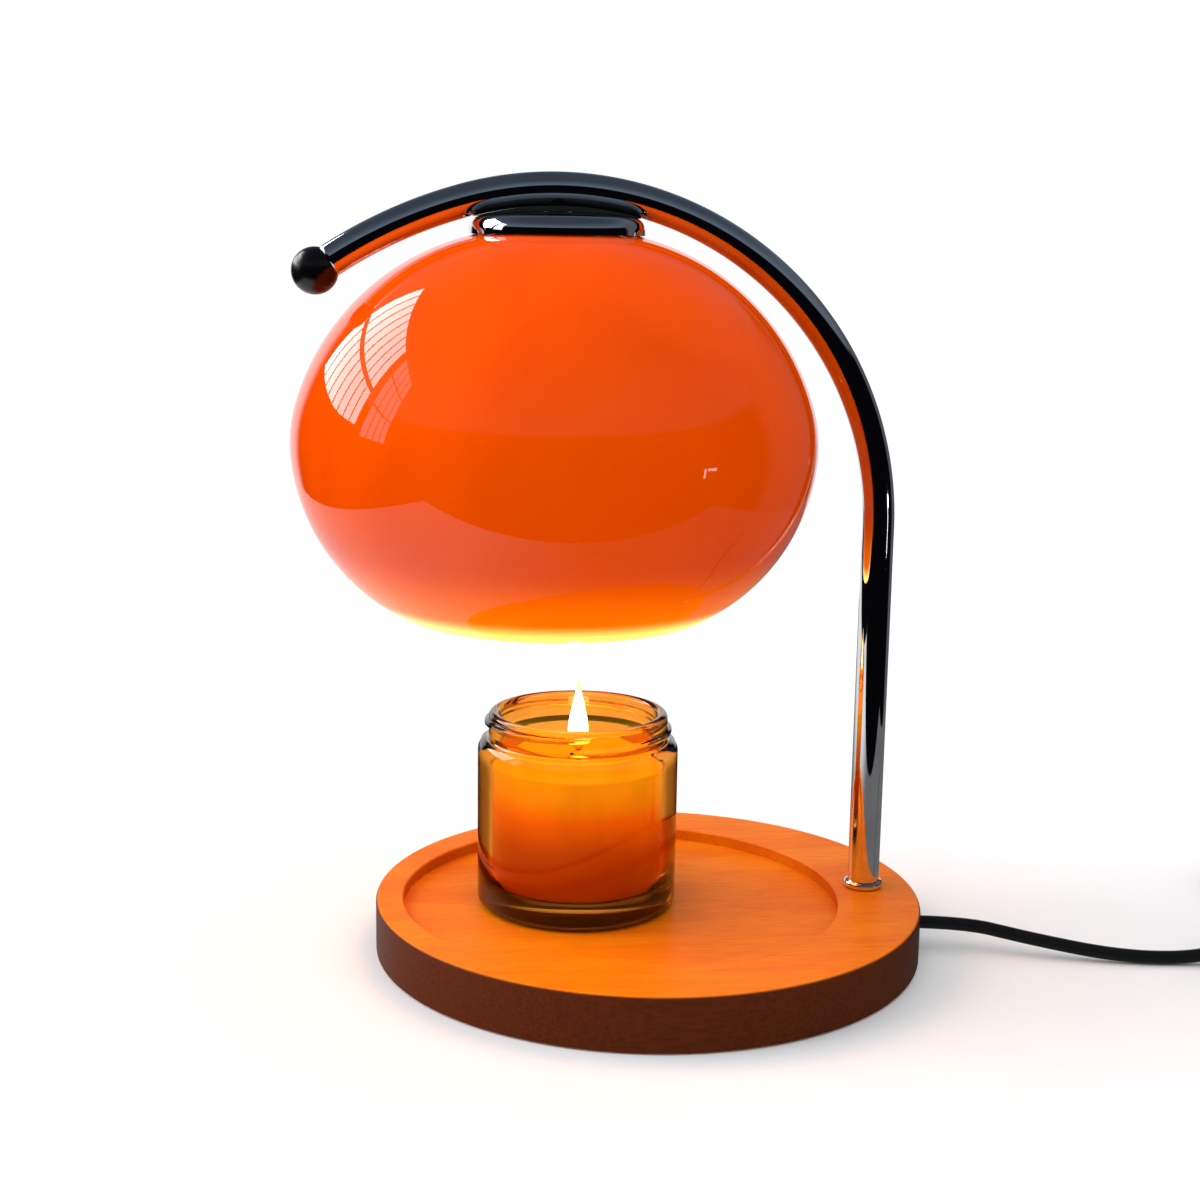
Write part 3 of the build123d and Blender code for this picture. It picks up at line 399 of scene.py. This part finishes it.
finishes = {
    "stained_wood": stainedWood(),
    "felt": moulded("feltPad", tint("2a2624"), 0.95, 0.9, 1900.0),
    "fibre_board": moulded("fibreBoard", tint("5a4330"), 0.8, 0.5, 1100.0),
    "zinc_steel": metal("zincSteel", tint("b9bcc0"), 0.3, 0.25),
    "black_rubber": moulded("blackRubber", tint("141416"), 0.55, 0.3, 1500.0),
    "black_plastic": moulded("blackPlastic", tint("18181a"), 0.38, 0.35, 1700.0),
    "grey_plastic": moulded("greyPlastic", tint("3c3d40"), 0.42, 0.3, 1700.0),
    "white_plastic": moulded("whitePlastic", tint("e6e4de"), 0.4),
    "brass": metal("brassMetal", tint("d6a548"), 0.22, 0.2),
    "chrome": metal("polishedChrome", tint("e4e7ec"), 0.035, 0.0),
    "nickel": metal("nickelMetal", tint("cfc9bd"), 0.16, 0.1),
    "black_ball": moulded("satinBlack", tint("060607"), 0.26, 0.03, 500.0),
    "gasket_rubber": moulded("gasketRubber", tint("202022"), 0.6, 0.3, 1500.0),
    "orange_glass": orangeGlass(),
    "ceramic": moulded("ceramicBody", tint("f1ece2"), 0.3, 0.15, 900.0),
    "reflector": metal("mirrorReflector", tint("e8e2d4"), 0.12, 0.15, 300.0),
    "clear_glass": clearGlass("clearGlass"),
    "amber_glass": amberGlass(),
    "wax": candleWax(),
    "wick": cottonWick(),
    "cord_black": moulded("cordBlack", tint("101012"), 0.34, 0.25, 1300.0),
    "circuit_board": moulded("circuitBoard", tint("1f5a34"), 0.35, 0.1, 700.0),
}
for node in nodes.values():
    for slot in node.material_slots:
        slot.material = finishes[slot.material.name]
nodes["bulb_lens"].material_slots[0].material = clearGlass("litLens", 5.0)
print("finishes made")


# shared mesh helpers
def addPiece(name, mesh, body="root", replaced=()):
    piece = bpy.data.objects.new(name, mesh)
    bpy.context.scene.collection.objects.link(piece)
    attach(piece, body)
    if replaced:
        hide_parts(*replaced)
    return piece


def arc(centre, radius, start, end, steps):
    angles = [radians(start + (end - start) * i / steps) for i in range(steps + 1)]
    return [(centre[0] + radius * cos(a), centre[1] + radius * sin(a)) for a in angles]


# the mesh of a closed shell, its faces turned outwards
def closedMesh(name, bm):
    bmesh.ops.recalc_face_normals(bm, faces=bm.faces)
    mesh = bpy.data.meshes.new(name)
    bm.to_mesh(mesh)
    bm.free()
    return mesh


# turns an outline of (radius, height) about an upright axis; a radius of 0 is a pole
def turnedMesh(name, outline, segments, axis=(0.0, 0.0), closed=False, shift=None):
    bm = bmesh.new()
    rings = []
    for radius, height in outline:
        if radius < 1e-6:
            rings.append([bm.verts.new((axis[0] * mm, axis[1] * mm, height * mm))])
            continue
        ring = []
        for i in range(segments):
            angle = 2 * pi * i / segments
            reach = radius + (shift(angle, radius, height) if shift else 0.0)
            x, y = axis[0] + reach * cos(angle), axis[1] + reach * sin(angle)
            ring.append(bm.verts.new((x * mm, y * mm, height * mm)))
        rings.append(ring)
    pairs = list(zip(rings, rings[1:]))
    if closed:
        pairs.append((rings[-1], rings[0]))
    for first, second in pairs:
        for i in range(segments):
            j = (i + 1) % segments
            corners = [first[i % len(first)], first[j % len(first)],
                       second[j % len(second)], second[i % len(second)]]
            corners = [c for k, c in enumerate(corners) if c not in corners[:k]]
            if len(corners) > 2:
                bm.faces.new(corners)
    mesh = closedMesh(name, bm)
    mesh.shade_smooth()
    return mesh


# geometry node trees: named sizes in, one mesh out
def startTree(name, sizes):
    group = bpy.data.node_groups.new(name, "GeometryNodeTree")
    group.interface.new_socket("Geometry", in_out="OUTPUT", socket_type="NodeSocketGeometry")
    kinds = {int: "Int", float: "Float", bpy.types.Material: "Material"}
    labels = {}
    for label, value in sizes.items():
        kind = "NodeSocket" + kinds[type(value)]
        socket = group.interface.new_socket(label, in_out="INPUT", socket_type=kind)
        labels[label] = socket.identifier
    tree = Tree(group)
    source = group.nodes.new("NodeGroupInput")
    inputs = {label: Signal(tree, source.outputs[label]) for label in sizes}
    return group, tree, inputs, labels


def finishTree(group, tree, shape, finish):
    solid = tree.add("GeometryNodeRealizeInstances", {}, [shape])
    painted = tree.add("GeometryNodeSetMaterial", {}, {"Geometry": solid, "Material": finish})
    target = group.nodes.new("NodeGroupOutput")
    tree.links.new(painted.output, target.inputs[0])


def grownMesh(name, group, labels, sizes):
    carrier = bpy.data.objects.new(name + "Carrier", bpy.data.meshes.new(name + "Carrier"))
    bpy.context.scene.collection.objects.link(carrier)
    modifier = carrier.modifiers.new(name, "NODES")
    modifier.node_group = group
    for label, value in sizes.items():
        modifier[labels[label]] = value
    bpy.context.view_layer.update()
    depsgraph = bpy.context.evaluated_depsgraph_get()
    mesh = bpy.data.meshes.new_from_object(carrier.evaluated_get(depsgraph))
    carrier.modifiers.remove(modifier)
    bpy.data.objects.remove(carrier)
    mesh.name = name
    mesh.shade_smooth()
    return mesh


# cords
cord = {
    "radius": 2.1,
    "coilCentre": (239.5, 24.0),
    "columns": (20.7, 25.0, 29.3),  # radii of the coil's turns
    "rows": (2.9, 7.1, 11.3),  # their heights
    "turns": ((0, 2), (0, 1), (0, 0), (1, 0), (1, 1), (1, 2), (2, 1), (2, 2)),  # row, column
    "stepsPerTurn": 16,
    "crossing": 40.0,  # degrees that a change of place takes
    "crossingEnd": 350.0,
    "toDimmer": [(58.0, -9.6, 8.6), (96.5, -9.6, 8.6), (121.0, -20.9, 5.2), (146.0, -29.6, 2.3),
                 (168.0, -32.4, 2.2), (180.0, -33.0, 5.5), (190.0, -33.0, 5.5)],
    "toCoil": [(238.0, -33.0, 5.5), (251.0, -33.0, 5.5), (262.3, -26.5, 4.6), (268.7, -15.2, 3.4),
               (268.8, 0.0, 2.9), (268.8, 14.0, 2.9)],
    "toPlug": [(268.8, 34.0, 11.3), (268.8, 43.0, 9.6), (268.1, 57.0, 6.2), (268.4, 71.0, 7.0),
               (268.9, 84.0, 7.0)],
}


# each turn keeps its place and then crosses over to the next one, later turns sooner
def coilPoints():
    x, y = cord["coilCentre"]
    radii, heights, turns = cord["columns"], cord["rows"], cord["turns"]
    steps, width = cord["stepsPerTurn"], cord["crossing"]
    swell = 1 / cos(pi / steps)  # the spline runs inside its points
    points = []
    for turn, (row, column) in enumerate(turns):
        nextRow, nextColumn = turns[min(turn + 1, len(turns) - 1)]
        start = cord["crossingEnd"] - width * (turn + 1)
        for step in range(steps):
            angle = 360.0 * step / steps
            share = min(1.0, max(0.0, (angle - start) / width))
            share = share * share * (3 - 2 * share)
            reach = swell * (radii[column] * (1 - share) + radii[nextColumn] * share)
            height = heights[row] * (1 - share) + heights[nextRow] * share
            turned = radians(angle)
            points.append((x + reach * cos(turned), y + reach * sin(turned), height))
    return points + [(x + swell * radii[2], y, heights[2])]


def makeCord(name, route):
    data = bpy.data.curves.new(name, "CURVE")
    data.dimensions = "3D"
    data.bevel_depth = cord["radius"] * mm
    data.bevel_resolution = 5
    data.resolution_u = 8
    data.use_fill_caps = True
    data.materials.append(finishes["cord_black"])
    spline = data.splines.new("NURBS")
    spline.points.add(len(route) - 1)
    for point, place in zip(spline.points, route):
        point.co = [c * mm for c in place] + [1.0]
    spline.order_u = 3
    spline.use_endpoint_u = True
    return data


firstCurve = makeCord("cordToDimmer", cord["toDimmer"])
firstCord = addPiece("cordToDimmer", firstCurve, replaced=["cord_to_dimmer"])
secondCurve = makeCord("cordToPlug", cord["toCoil"] + coilPoints() + cord["toPlug"])
secondCord = addPiece("cordToPlug", secondCurve,
                      replaced=["cord_to_coil", "cord_coil", "cord_to_plug"])
putAway = [nodes[name] for name in nodes if name.startswith(("dimmer", "plug", "coil_tie"))]
for piece in [secondCord] + putAway:  # they lie off to the side and the gloss leaves them out
    piece.visible_glossy = False
print("cords laid")


# arm: straight leg, wide arch and a flatter tip, one smooth tube
arm = {
    "Radius": 5.0 * mm,
    "Foot Height": 17.0 * mm,
    "Leg Length": 117.1 * mm,
    "Post X": 70.2 * mm,
    "Arch Radius": 101.2 * mm,
    "Arch Turn": radians(105.8),
    "Tip Radius": 141.7 * mm,
    "Tip Turn": radians(123.52 - 105.8),
    "Steps": 300,
    "Sides": 64,
    "Finish": finishes["chrome"],
}
armWall = 1.0


def armTree():
    group, tree, size, labels = startTree("armTube", arm)
    total = size["Leg Length"] + size["Arch Radius"] * size["Arch Turn"]
    total = total + size["Tip Radius"] * size["Tip Turn"]
    end = tree.add("ShaderNodeCombineXYZ", {}, {"Z": total})
    line = tree.add("GeometryNodeCurvePrimitiveLine", {}, {"End": end})
    line = tree.add("GeometryNodeResampleCurve", {}, {"Curve": line, "Count": size["Steps"]})
    along = tree.add("GeometryNodeSplineParameter", out="Length")
    risen = along.math("MINIMUM", size["Leg Length"])
    first = ((along - size["Leg Length"]) / size["Arch Radius"]).math("MAXIMUM", 0.0)
    first = first.math("MINIMUM", size["Arch Turn"])
    rest = along - size["Leg Length"] - size["Arch Radius"] * size["Arch Turn"]
    second = (rest / size["Tip Radius"]).math("MAXIMUM", 0.0) + size["Arch Turn"]
    x = size["Post X"] + size["Arch Radius"] * (first.math("COSINE") - 1.0)
    x = x + size["Tip Radius"] * (second.math("COSINE") - size["Arch Turn"].math("COSINE"))
    z = size["Foot Height"] + risen + size["Arch Radius"] * first.math("SINE")
    z = z + size["Tip Radius"] * (second.math("SINE") - size["Arch Turn"].math("SINE"))
    place = tree.add("ShaderNodeCombineXYZ", {}, {"X": x, "Z": z})
    line = tree.add("GeometryNodeSetPosition", {}, {"Geometry": line, "Position": place})
    profile = {"Radius": size["Radius"], "Resolution": size["Sides"]}
    circle = tree.add("GeometryNodeCurvePrimitiveCircle", {}, profile)
    tube = tree.add("GeometryNodeCurveToMesh", {}, {"Curve": line, "Profile Curve": circle})
    finishTree(group, tree, tube, size["Finish"])
    return group, labels


def makeArm():
    mesh = grownMesh("armTube", *armTree(), arm)
    tube = addPiece("armTube", mesh, replaced=["arm_tube"])
    wall = tube.modifiers.new("wall", "SOLIDIFY")
    wall.thickness = armWall * mm
    wall.offset = -1.0


makeArm()
print("arm grown")


# dark pad that fills the gap between the arm and the cap
pad = {
    "middle": -31.0,
    "archCentre": 134.1,
    "archUnder": 96.15,  # radius of the arm's underside
    "capTop": 228.6,
    "capDome": 180.0,
    "lift": 0.03,  # from the cap
    "thinnest": 0.1,
    "reach": 24.8,
    "halfWidth": 5.2,
    "steps": 48,
}


def makePad():
    bm = bmesh.new()
    rows = []
    for i in range(pad["steps"] + 1):
        along = -pad["reach"] * cos(pi * i / pad["steps"])
        end = max(0.0, abs(along) - pad["reach"] + pad["halfWidth"])
        half = max(pad["thinnest"] / 2, sqrt(max(0.0, pad["halfWidth"] ** 2 - end * end)))
        dome = pad["capTop"] - pad["capDome"] + sqrt(pad["capDome"] ** 2 - along * along)
        low = dome + pad["lift"]
        high = pad["archCentre"] + sqrt(pad["archUnder"] ** 2 - along * along)
        high = max(high, low + pad["thinnest"])
        x = pad["middle"] + along
        corners = [(x, -half, low), (x, half, low), (x, half, high), (x, -half, high)]
        rows.append([bm.verts.new([c * mm for c in corner]) for corner in corners])
    for first, second in zip(rows, rows[1:]):
        for i in range(4):
            j = (i + 1) % 4
            bm.faces.new([first[i], first[j], second[j], second[i]])
    bm.faces.new(rows[0][::-1])
    bm.faces.new(rows[-1])
    mesh = closedMesh("armPad", bm)
    mesh.materials.append(finishes["gasket_rubber"])
    addPiece("armPad", mesh)


makePad()
print("pad fitted")


# glass shade: arcs that run on from each other, with a rounded rim
shade = {
    "axis": (-31.0, 0.0),
    "wall": 3.0,
    "top": 223.4,
    "hole": 5.5,
    "crown": ((7.70, 150.69), 73.1),  # centre and radius of each arc
    "upper": ((36.6, 159.8), 42.8),
    "lower": ((33.2, 159.8), 46.2),
    "skirt": ((20.01, 161.51), 59.5),
    "upperAngle": 17.5,
    "lowerAngle": -7.4,
    "rimAngle": -64.42,
    "outerStart": 84.1,
    "innerStart": 83.4,
    "round": 0.4,  # at the hole in the top
    "liningTop": 218.0,
    "segments": 288,
    "steps": (46, 8, 5, 46),
}


def shadeSide(inset, crownStart):
    turns = (crownStart, shade["upperAngle"], 0.0, shade["lowerAngle"], shade["rimAngle"])
    side = []
    for i, name in enumerate(("crown", "upper", "lower", "skirt")):
        centre, radius = shade[name]
        points = arc(centre, radius - inset, turns[i], turns[i + 1], shade["steps"][i])
        side += points[1:] if side else points
    return side


def makeShade():
    wall, top, hole, edge = shade["wall"], shade["top"], shade["hole"], shade["round"]
    outer = [(hole, top - edge), (hole + edge, top)] + shadeSide(0.0, shade["outerStart"])
    inner = shadeSide(wall, shade["innerStart"])[::-1]
    inner += [(hole + edge, top - wall), (hole, top - wall + edge)]
    centre, radius = shade["skirt"]
    rim = shade["rimAngle"]
    middle = arc(centre, radius - wall / 2, rim, rim, 1)[0]
    lip = arc(middle, wall / 2, rim, rim - 180.0, 10)[1:-1]
    outline = outer + lip + inner
    mesh = turnedMesh("shadeGlass", outline, shade["segments"], shade["axis"], True)
    mesh.materials.append(finishes["orange_glass"])
    mesh.materials.append(opalLining())
    for face in mesh.polygons:  # the lining is where the faces look at the axis or down inside
        x, y, z = face.center / mm
        outward = face.normal.x * (x - shade["axis"][0]) + face.normal.y * y
        inside = outward < 0.0 if z < shade["liningTop"] else face.normal.z < 0.0
        face.material_index = 1 if inside else 0
    addPiece("shadeGlass", mesh, replaced=["shade_glass"])


makeShade()
print("shade turned")


# candle: amber jar with a screw neck, wax, wick and flame
candle = {
    "axis": (-22.4, 4.7),
    "foot": 13.3,
    "radius": 31.5,
    "corner": 3.0,
    "inner": 27.0,
    "floor": 21.3,
    "bodyTop": 63.2,
    "neckFoot": 67.2,
    "neck": 28.1,
    "neckInner": 24.5,
    "lip": 1.8,
    "top": 75.5,
    "pitch": 4.23,
    "threadTurns": 1.04,
    "threadLow": 68.9,
    "threadStart": radians(-102.0),
    "threadHeight": 1.3,
    "threadWidth": 2.4,
    "threadEnds": 14,  # how soon the thread runs out
    "bulge": 0.72,
    "segments": 192,
    "waxTop": 59.5,
    "waxRadius": 26.9,
    "wick": 0.9,
    "wickTop": 66.0,
    "wickLean": 0.028,
}


# how far the screw thread stands out of the neck
def threadRise(angle, radius, height):
    onNeck = candle["neckFoot"] < height < candle["top"] - 0.5
    if radius < candle["neck"] - 0.01 or not onNeck:
        return 0.0
    rise = 0.0
    for lap in (-1, 0, 1):
        turned = angle - candle["threadStart"] + 2 * pi * lap
        share = turned / (2 * pi * candle["threadTurns"])
        if not 0.0 <= share <= 1.0:
            continue
        middle = candle["threadLow"] + candle["pitch"] * turned / (2 * pi)
        away = abs(height - middle) / (candle["threadWidth"] / 2)
        ends = min(1.0, min(share, 1 - share) * candle["threadEnds"])
        if away < 1.0:
            crest = min(1.0, 1.5 * (1 + cos(pi * away)) / 2)
            rise = max(rise, candle["threadHeight"] * crest * sin(ends * pi / 2))
    return rise


# the jar's outline runs up the outside, over the lip and down the inside
def makeJar():
    foot, radius, corner, low = [candle[key] for key in ("foot", "radius", "corner", "floor")]
    neck, throat, inner, lip = [candle[key] for key in ("neck", "neckInner", "inner", "lip")]
    body, neckFoot, bulge = candle["bodyTop"], candle["neckFoot"], candle["bulge"] * (radius - neck)
    outline = [(0.0, foot + 0.8), (18.0, foot + 0.7), (22.0, foot + 0.1)]
    outline += arc((radius - corner, foot + corner), corner, -90.0, 0.0, 8)
    outline += [(radius, foot + 3.6 + i * 5.0) for i in range(9)] + [(radius, body)]
    outline += [(radius - 0.12, body + 1.0), (neck + bulge, body + 2.8)]
    outline += [(neck + 0.55 * bulge, body + 3.6), (neck, neckFoot)]
    outline += [(neck, neckFoot + 0.2 + 0.22 * i) for i in range(30)]
    outline += arc((neck - lip, candle["top"] - lip), lip, 0.0, 180.0, 12)
    step = neckFoot - 0.5
    outline += [(throat, step + 2.0), (throat, step), (throat + 0.5, step - 0.8)]
    outline += [(inner - 0.3, step - 2.2), (inner, step - 2.9)]
    outline += [(inner, low + 1.5 + 6.0 * i) for i in range(6, -1, -1)]
    outline += [(inner - 0.5, low + 0.4), (inner - 1.5, low), (0.0, low)]
    segments, axis = candle["segments"], candle["axis"]
    mesh = turnedMesh("candleJar", outline, segments, axis, False, threadRise)
    mesh.materials.append(finishes["amber_glass"])
    return addPiece("candleJar", mesh, "candle", ["candle_jar"])


def makeWax():
    radius, low, top = candle["waxRadius"], candle["floor"] + 0.05, candle["waxTop"]
    outline = [(0.0, low), (radius - 1.5, low), (radius - 0.4, low + 0.5), (radius, low + 1.6)]
    outline += [(radius, low + 6.0 * i) for i in range(1, 7)]
    outline += [(radius, top - 0.5), (radius - 0.2, top)]
    outline += [(radius - 1.0, top - 0.35), (radius - 3.0, top - 0.7), (14.0, top - 0.9)]
    outline += [(6.0, top - 1.1), (2.0, top - 1.0), (1.2, top - 0.6), (0.0, top - 0.6)]
    mesh = turnedMesh("candleWax", outline, candle["segments"], candle["axis"])
    mesh.materials.append(finishes["wax"])
    addPiece("candleWax", mesh, "candle", ["candle_wax"])


def plait(angle, radius, height):
    return 0.10 * sin(2 * angle + 4.0 * height) - 0.06


def makeWick():
    low, top, radius = candle["floor"] + 0.8, candle["wickTop"], candle["wick"]
    outline = [(0.0, low), (radius, low)]
    outline += [(radius, low + (top - low - 0.4) * i / 40) for i in range(1, 41)]
    outline += [(0.6 * radius, top), (0.0, top)]
    mesh = turnedMesh("candleWick", outline, 20, candle["axis"], False, plait)
    for vertex in mesh.vertices:  # the tip leans over
        over = max(0.0, vertex.co.z / mm - candle["waxTop"])
        vertex.co.x += candle["wickLean"] * over * over * mm
    mesh.materials.append(finishes["wick"])
    addPiece("candleWick", mesh, "candle", ["candle_wick"])


def makeFlame():
    mesh = turnedMesh("candleFlame", flame["outline"], flame["segments"], candle["axis"])
    mesh.materials.append(flameLight())
    piece = addPiece("candleFlame", mesh, "candle")
    smooth = piece.modifiers.new("smooth", "SUBSURF")
    smooth.levels = smooth.render_levels = 1


jar = makeJar()
makeWax()
makeWick()
makeFlame()
print("candle made")


# stage: white floor, room seen in the gloss, window and lights
room = {
    "overhead": 1.80,  # even light on matt surfaces, strongest from above
    "horizon": 0.05,
    "dark": (0.002, 0.002, 0.003, 1.0),
    "ceiling": (0.045, 0.060, 0.080, 1.0),
    "ceilingEdge": (0.12, 0.15, 0.19, 1.0),
    "wall": (0.10, 0.10, 0.11, 1.0),
    "white": (1.0, 1.0, 1.0, 1.0),
    "paper": ("d5d6d8", "d2d3d5"),
}


# matt surfaces get a plain soft sky, gloss sees a dark room with a ceiling and a white backdrop
def makeWorld():
    world = bpy.data.worlds.new("room")
    world.use_nodes = True
    bpy.context.scene.world = world
    tree = Tree(world.node_tree)
    tree.nodes.clear()
    direction = tree.add("ShaderNodeTexCoord", out="Generated")
    x, y, z = [tree.axis(direction, letter) for letter in "XYZ"]
    backdrop = tree.between(y, 0.82, 0.90) * tree.between(z, 0.34, 0.26)
    rightWall = tree.between(x, 0.55, 0.70) * tree.between(y, 0.05, 0.2)
    rightWall = rightWall * tree.between(z, 0.56, 0.52)
    ceiling = tree.blend(tree.between(z, 0.4, 0.9), room["ceilingEdge"], room["ceiling"])
    gloss = tree.blend(tree.between(z, 0.34, 0.40), room["dark"], ceiling)
    gloss = tree.blend(rightWall, gloss, room["wall"])
    gloss = tree.blend(backdrop, gloss, room["white"])
    path = tree.nodes.new("ShaderNodeLightPath")
    seen = Signal(tree, path.outputs["Is Camera Ray"])
    matt = Signal(tree, path.outputs["Is Diffuse Ray"])
    level = room["horizon"] + room["overhead"] * z.math("MAXIMUM", 0.0)
    sky = tree.add("ShaderNodeCombineXYZ", {}, [level, level, level])
    colour = tree.blend(matt, gloss, sky)
    colour = tree.blend(seen, colour, room["white"])
    light = tree.add("ShaderNodeBackground", {}, {"Color": colour, "Strength": 1.0})
    target = tree.nodes.new("ShaderNodeOutputWorld")
    tree.links.new(light.output, target.inputs["Surface"])


def stageMesh(name, corners, faces, material):
    mesh = bpy.data.meshes.new(name)
    mesh.from_pydata([[c * mm for c in corner] for corner in corners], [], faces)
    mesh.materials.append(material)
    thing = bpy.data.objects.new(name, mesh)
    bpy.context.scene.collection.objects.link(thing)
    return thing


def paper(name):
    finish = Finish(name, {"Specular IOR Level": 0.0})
    grain = finish.noise(30.0, 3.0)
    pale, deep = [tint(code) for code in room["paper"]]
    finish.set({"Base Color": finish.blend(grain, pale, deep), "Roughness": 0.85 + 0.1 * grain})
    return finish.material


floorSheet = {
    "corners": ((-380, -215, -0.2), (330, -190, -0.2), (420, 600, -0.2), (-420, 600, -0.2)),
    "strength": 0.9,
    "fade": (-190.0, 10.0, 0.16),  # from this X to this X, down to this strength
}


# the wide floor is what is seen and what throws light back; gloss only sees the sheet under
# the lamp, and the jar doesn't
def makeFloor():
    far = 6000
    wide = [(-far, -far, 0), (far, -far, 0), (far, far, 0), (-far, far, 0)]
    floor = stageMesh("floor", wide, [(0, 1, 2, 3)], paper("floorPaper"))
    floor.visible_glossy = False
    corners, strength, fade = floorSheet["corners"], floorSheet["strength"], floorSheet["fade"]
    sheet = lightSheet("sheet", corners, [(0, 1, 2, 3)], strength, fade)
    unlit = bpy.data.collections.new("unlit")
    unlit.objects.link(jar)
    unlit.collection_objects[0].light_linking.link_state = "EXCLUDE"
    sheet.light_linking.receiver_collection = unlit


# everything but the distance is in shares of the distance
window = {
    "centre": (-31.0, 0.0, 160.0),
    "distance": 1500.0,
    "angle": radians(-128.0),
    "columns": 8,
    "start": -0.26,
    "step": 0.103,
    "pane": 0.088,
    "rows": ((0.255, 0.535, 7.0), (0.575, 1.02, 8.0)),  # from, to and strength
    "sideColumns": 4,
    "sideStart": 0.665,
    "sideStep": 0.113,
    "sidePane": 0.098,
    "sideRows": ((0.17, 0.5, 1.8), (0.52, 0.79, 1.8), (0.81, 1.03, 1.8)),
    "markAngle": radians(60.0),  # two small marks of light from the other side of the room
    "marks": ((-0.034, -0.014, -0.175, -0.075, 6.0), (-0.004, 0.075, -0.100, -0.070, 6.0)),
}


# left, right, low and high edge and strength of each pane
def windowPanes():
    panes = []
    for column in range(window["columns"]):
        start = window["start"] + window["step"] * column
        for row in window["rows"]:
            panes.append((start, start + window["pane"], *row))
    for column in range(window["sideColumns"]):
        start = window["sideStart"] + window["sideStep"] * column
        for row in window["sideRows"]:
            panes.append((start, start + window["sidePane"], *row))
    return panes


# light that only gloss sees; it may fade between two X in millimetres
def lightSheet(name, corners, faces, strength, fade=None):
    material = bpy.data.materials.new(name)
    material.use_nodes = True
    tree = Tree(material.node_tree)
    tree.nodes.clear()
    if fade:
        place = tree.add("ShaderNodeTexCoord", out="Object")
        start, end, faded = fade
        strength = tree.between(tree.axis(place, "X") / mm, start, end, strength, faded)
    inputs = {"Color": (1.0, 0.98, 0.97, 1.0), "Strength": strength}
    light = tree.add("ShaderNodeEmission", {}, inputs)
    target = tree.nodes.new("ShaderNodeOutputMaterial")
    tree.links.new(light.output, target.inputs["Surface"])
    sheet = stageMesh(name, corners, faces, material)
    sheet.visible_camera = sheet.visible_diffuse = False
    sheet.visible_shadow = sheet.visible_transmission = False
    return sheet


def makeWindow(panes, angle, label):
    far = window["distance"]
    ahead, side = Vector((sin(angle), -cos(angle), 0)), Vector((cos(angle), sin(angle), 0))
    middle = Vector(window["centre"]) + ahead * far
    for strength in sorted({pane[4] for pane in panes}):
        corners, faces = [], []
        for left, right, low, high, bright in panes:
            if bright == strength:
                for u, w in ((left, low), (right, low), (right, high), (left, high)):
                    corners.append(tuple(middle + side * u * far + Vector((0, 0, w * far))))
                faces.append(tuple(range(len(corners) - 4, len(corners))))
        lightSheet(f"{label}{int(strength)}", corners, faces, strength)


sunLight = {
    "toward": (-0.85, 0.10, 0.52),
    "strength": 2.4,
    "spread": radians(50.0),
}


def makeSun():
    data = bpy.data.lights.new("windowSun", "SUN")
    data.energy = sunLight["strength"]
    data.angle = sunLight["spread"]
    sun = bpy.data.objects.new("windowSun", data)
    sun.rotation_euler = Vector(sunLight["toward"]).to_track_quat("Z", "Y").to_euler()
    sun.visible_glossy = sun.visible_camera = False
    bpy.context.scene.collection.objects.link(sun)


makeWorld()
makeFloor()
makeWindow(windowPanes(), window["angle"], "window")
makeWindow(window["marks"], window["markAngle"], "mark")
makeSun()
print("stage lit")
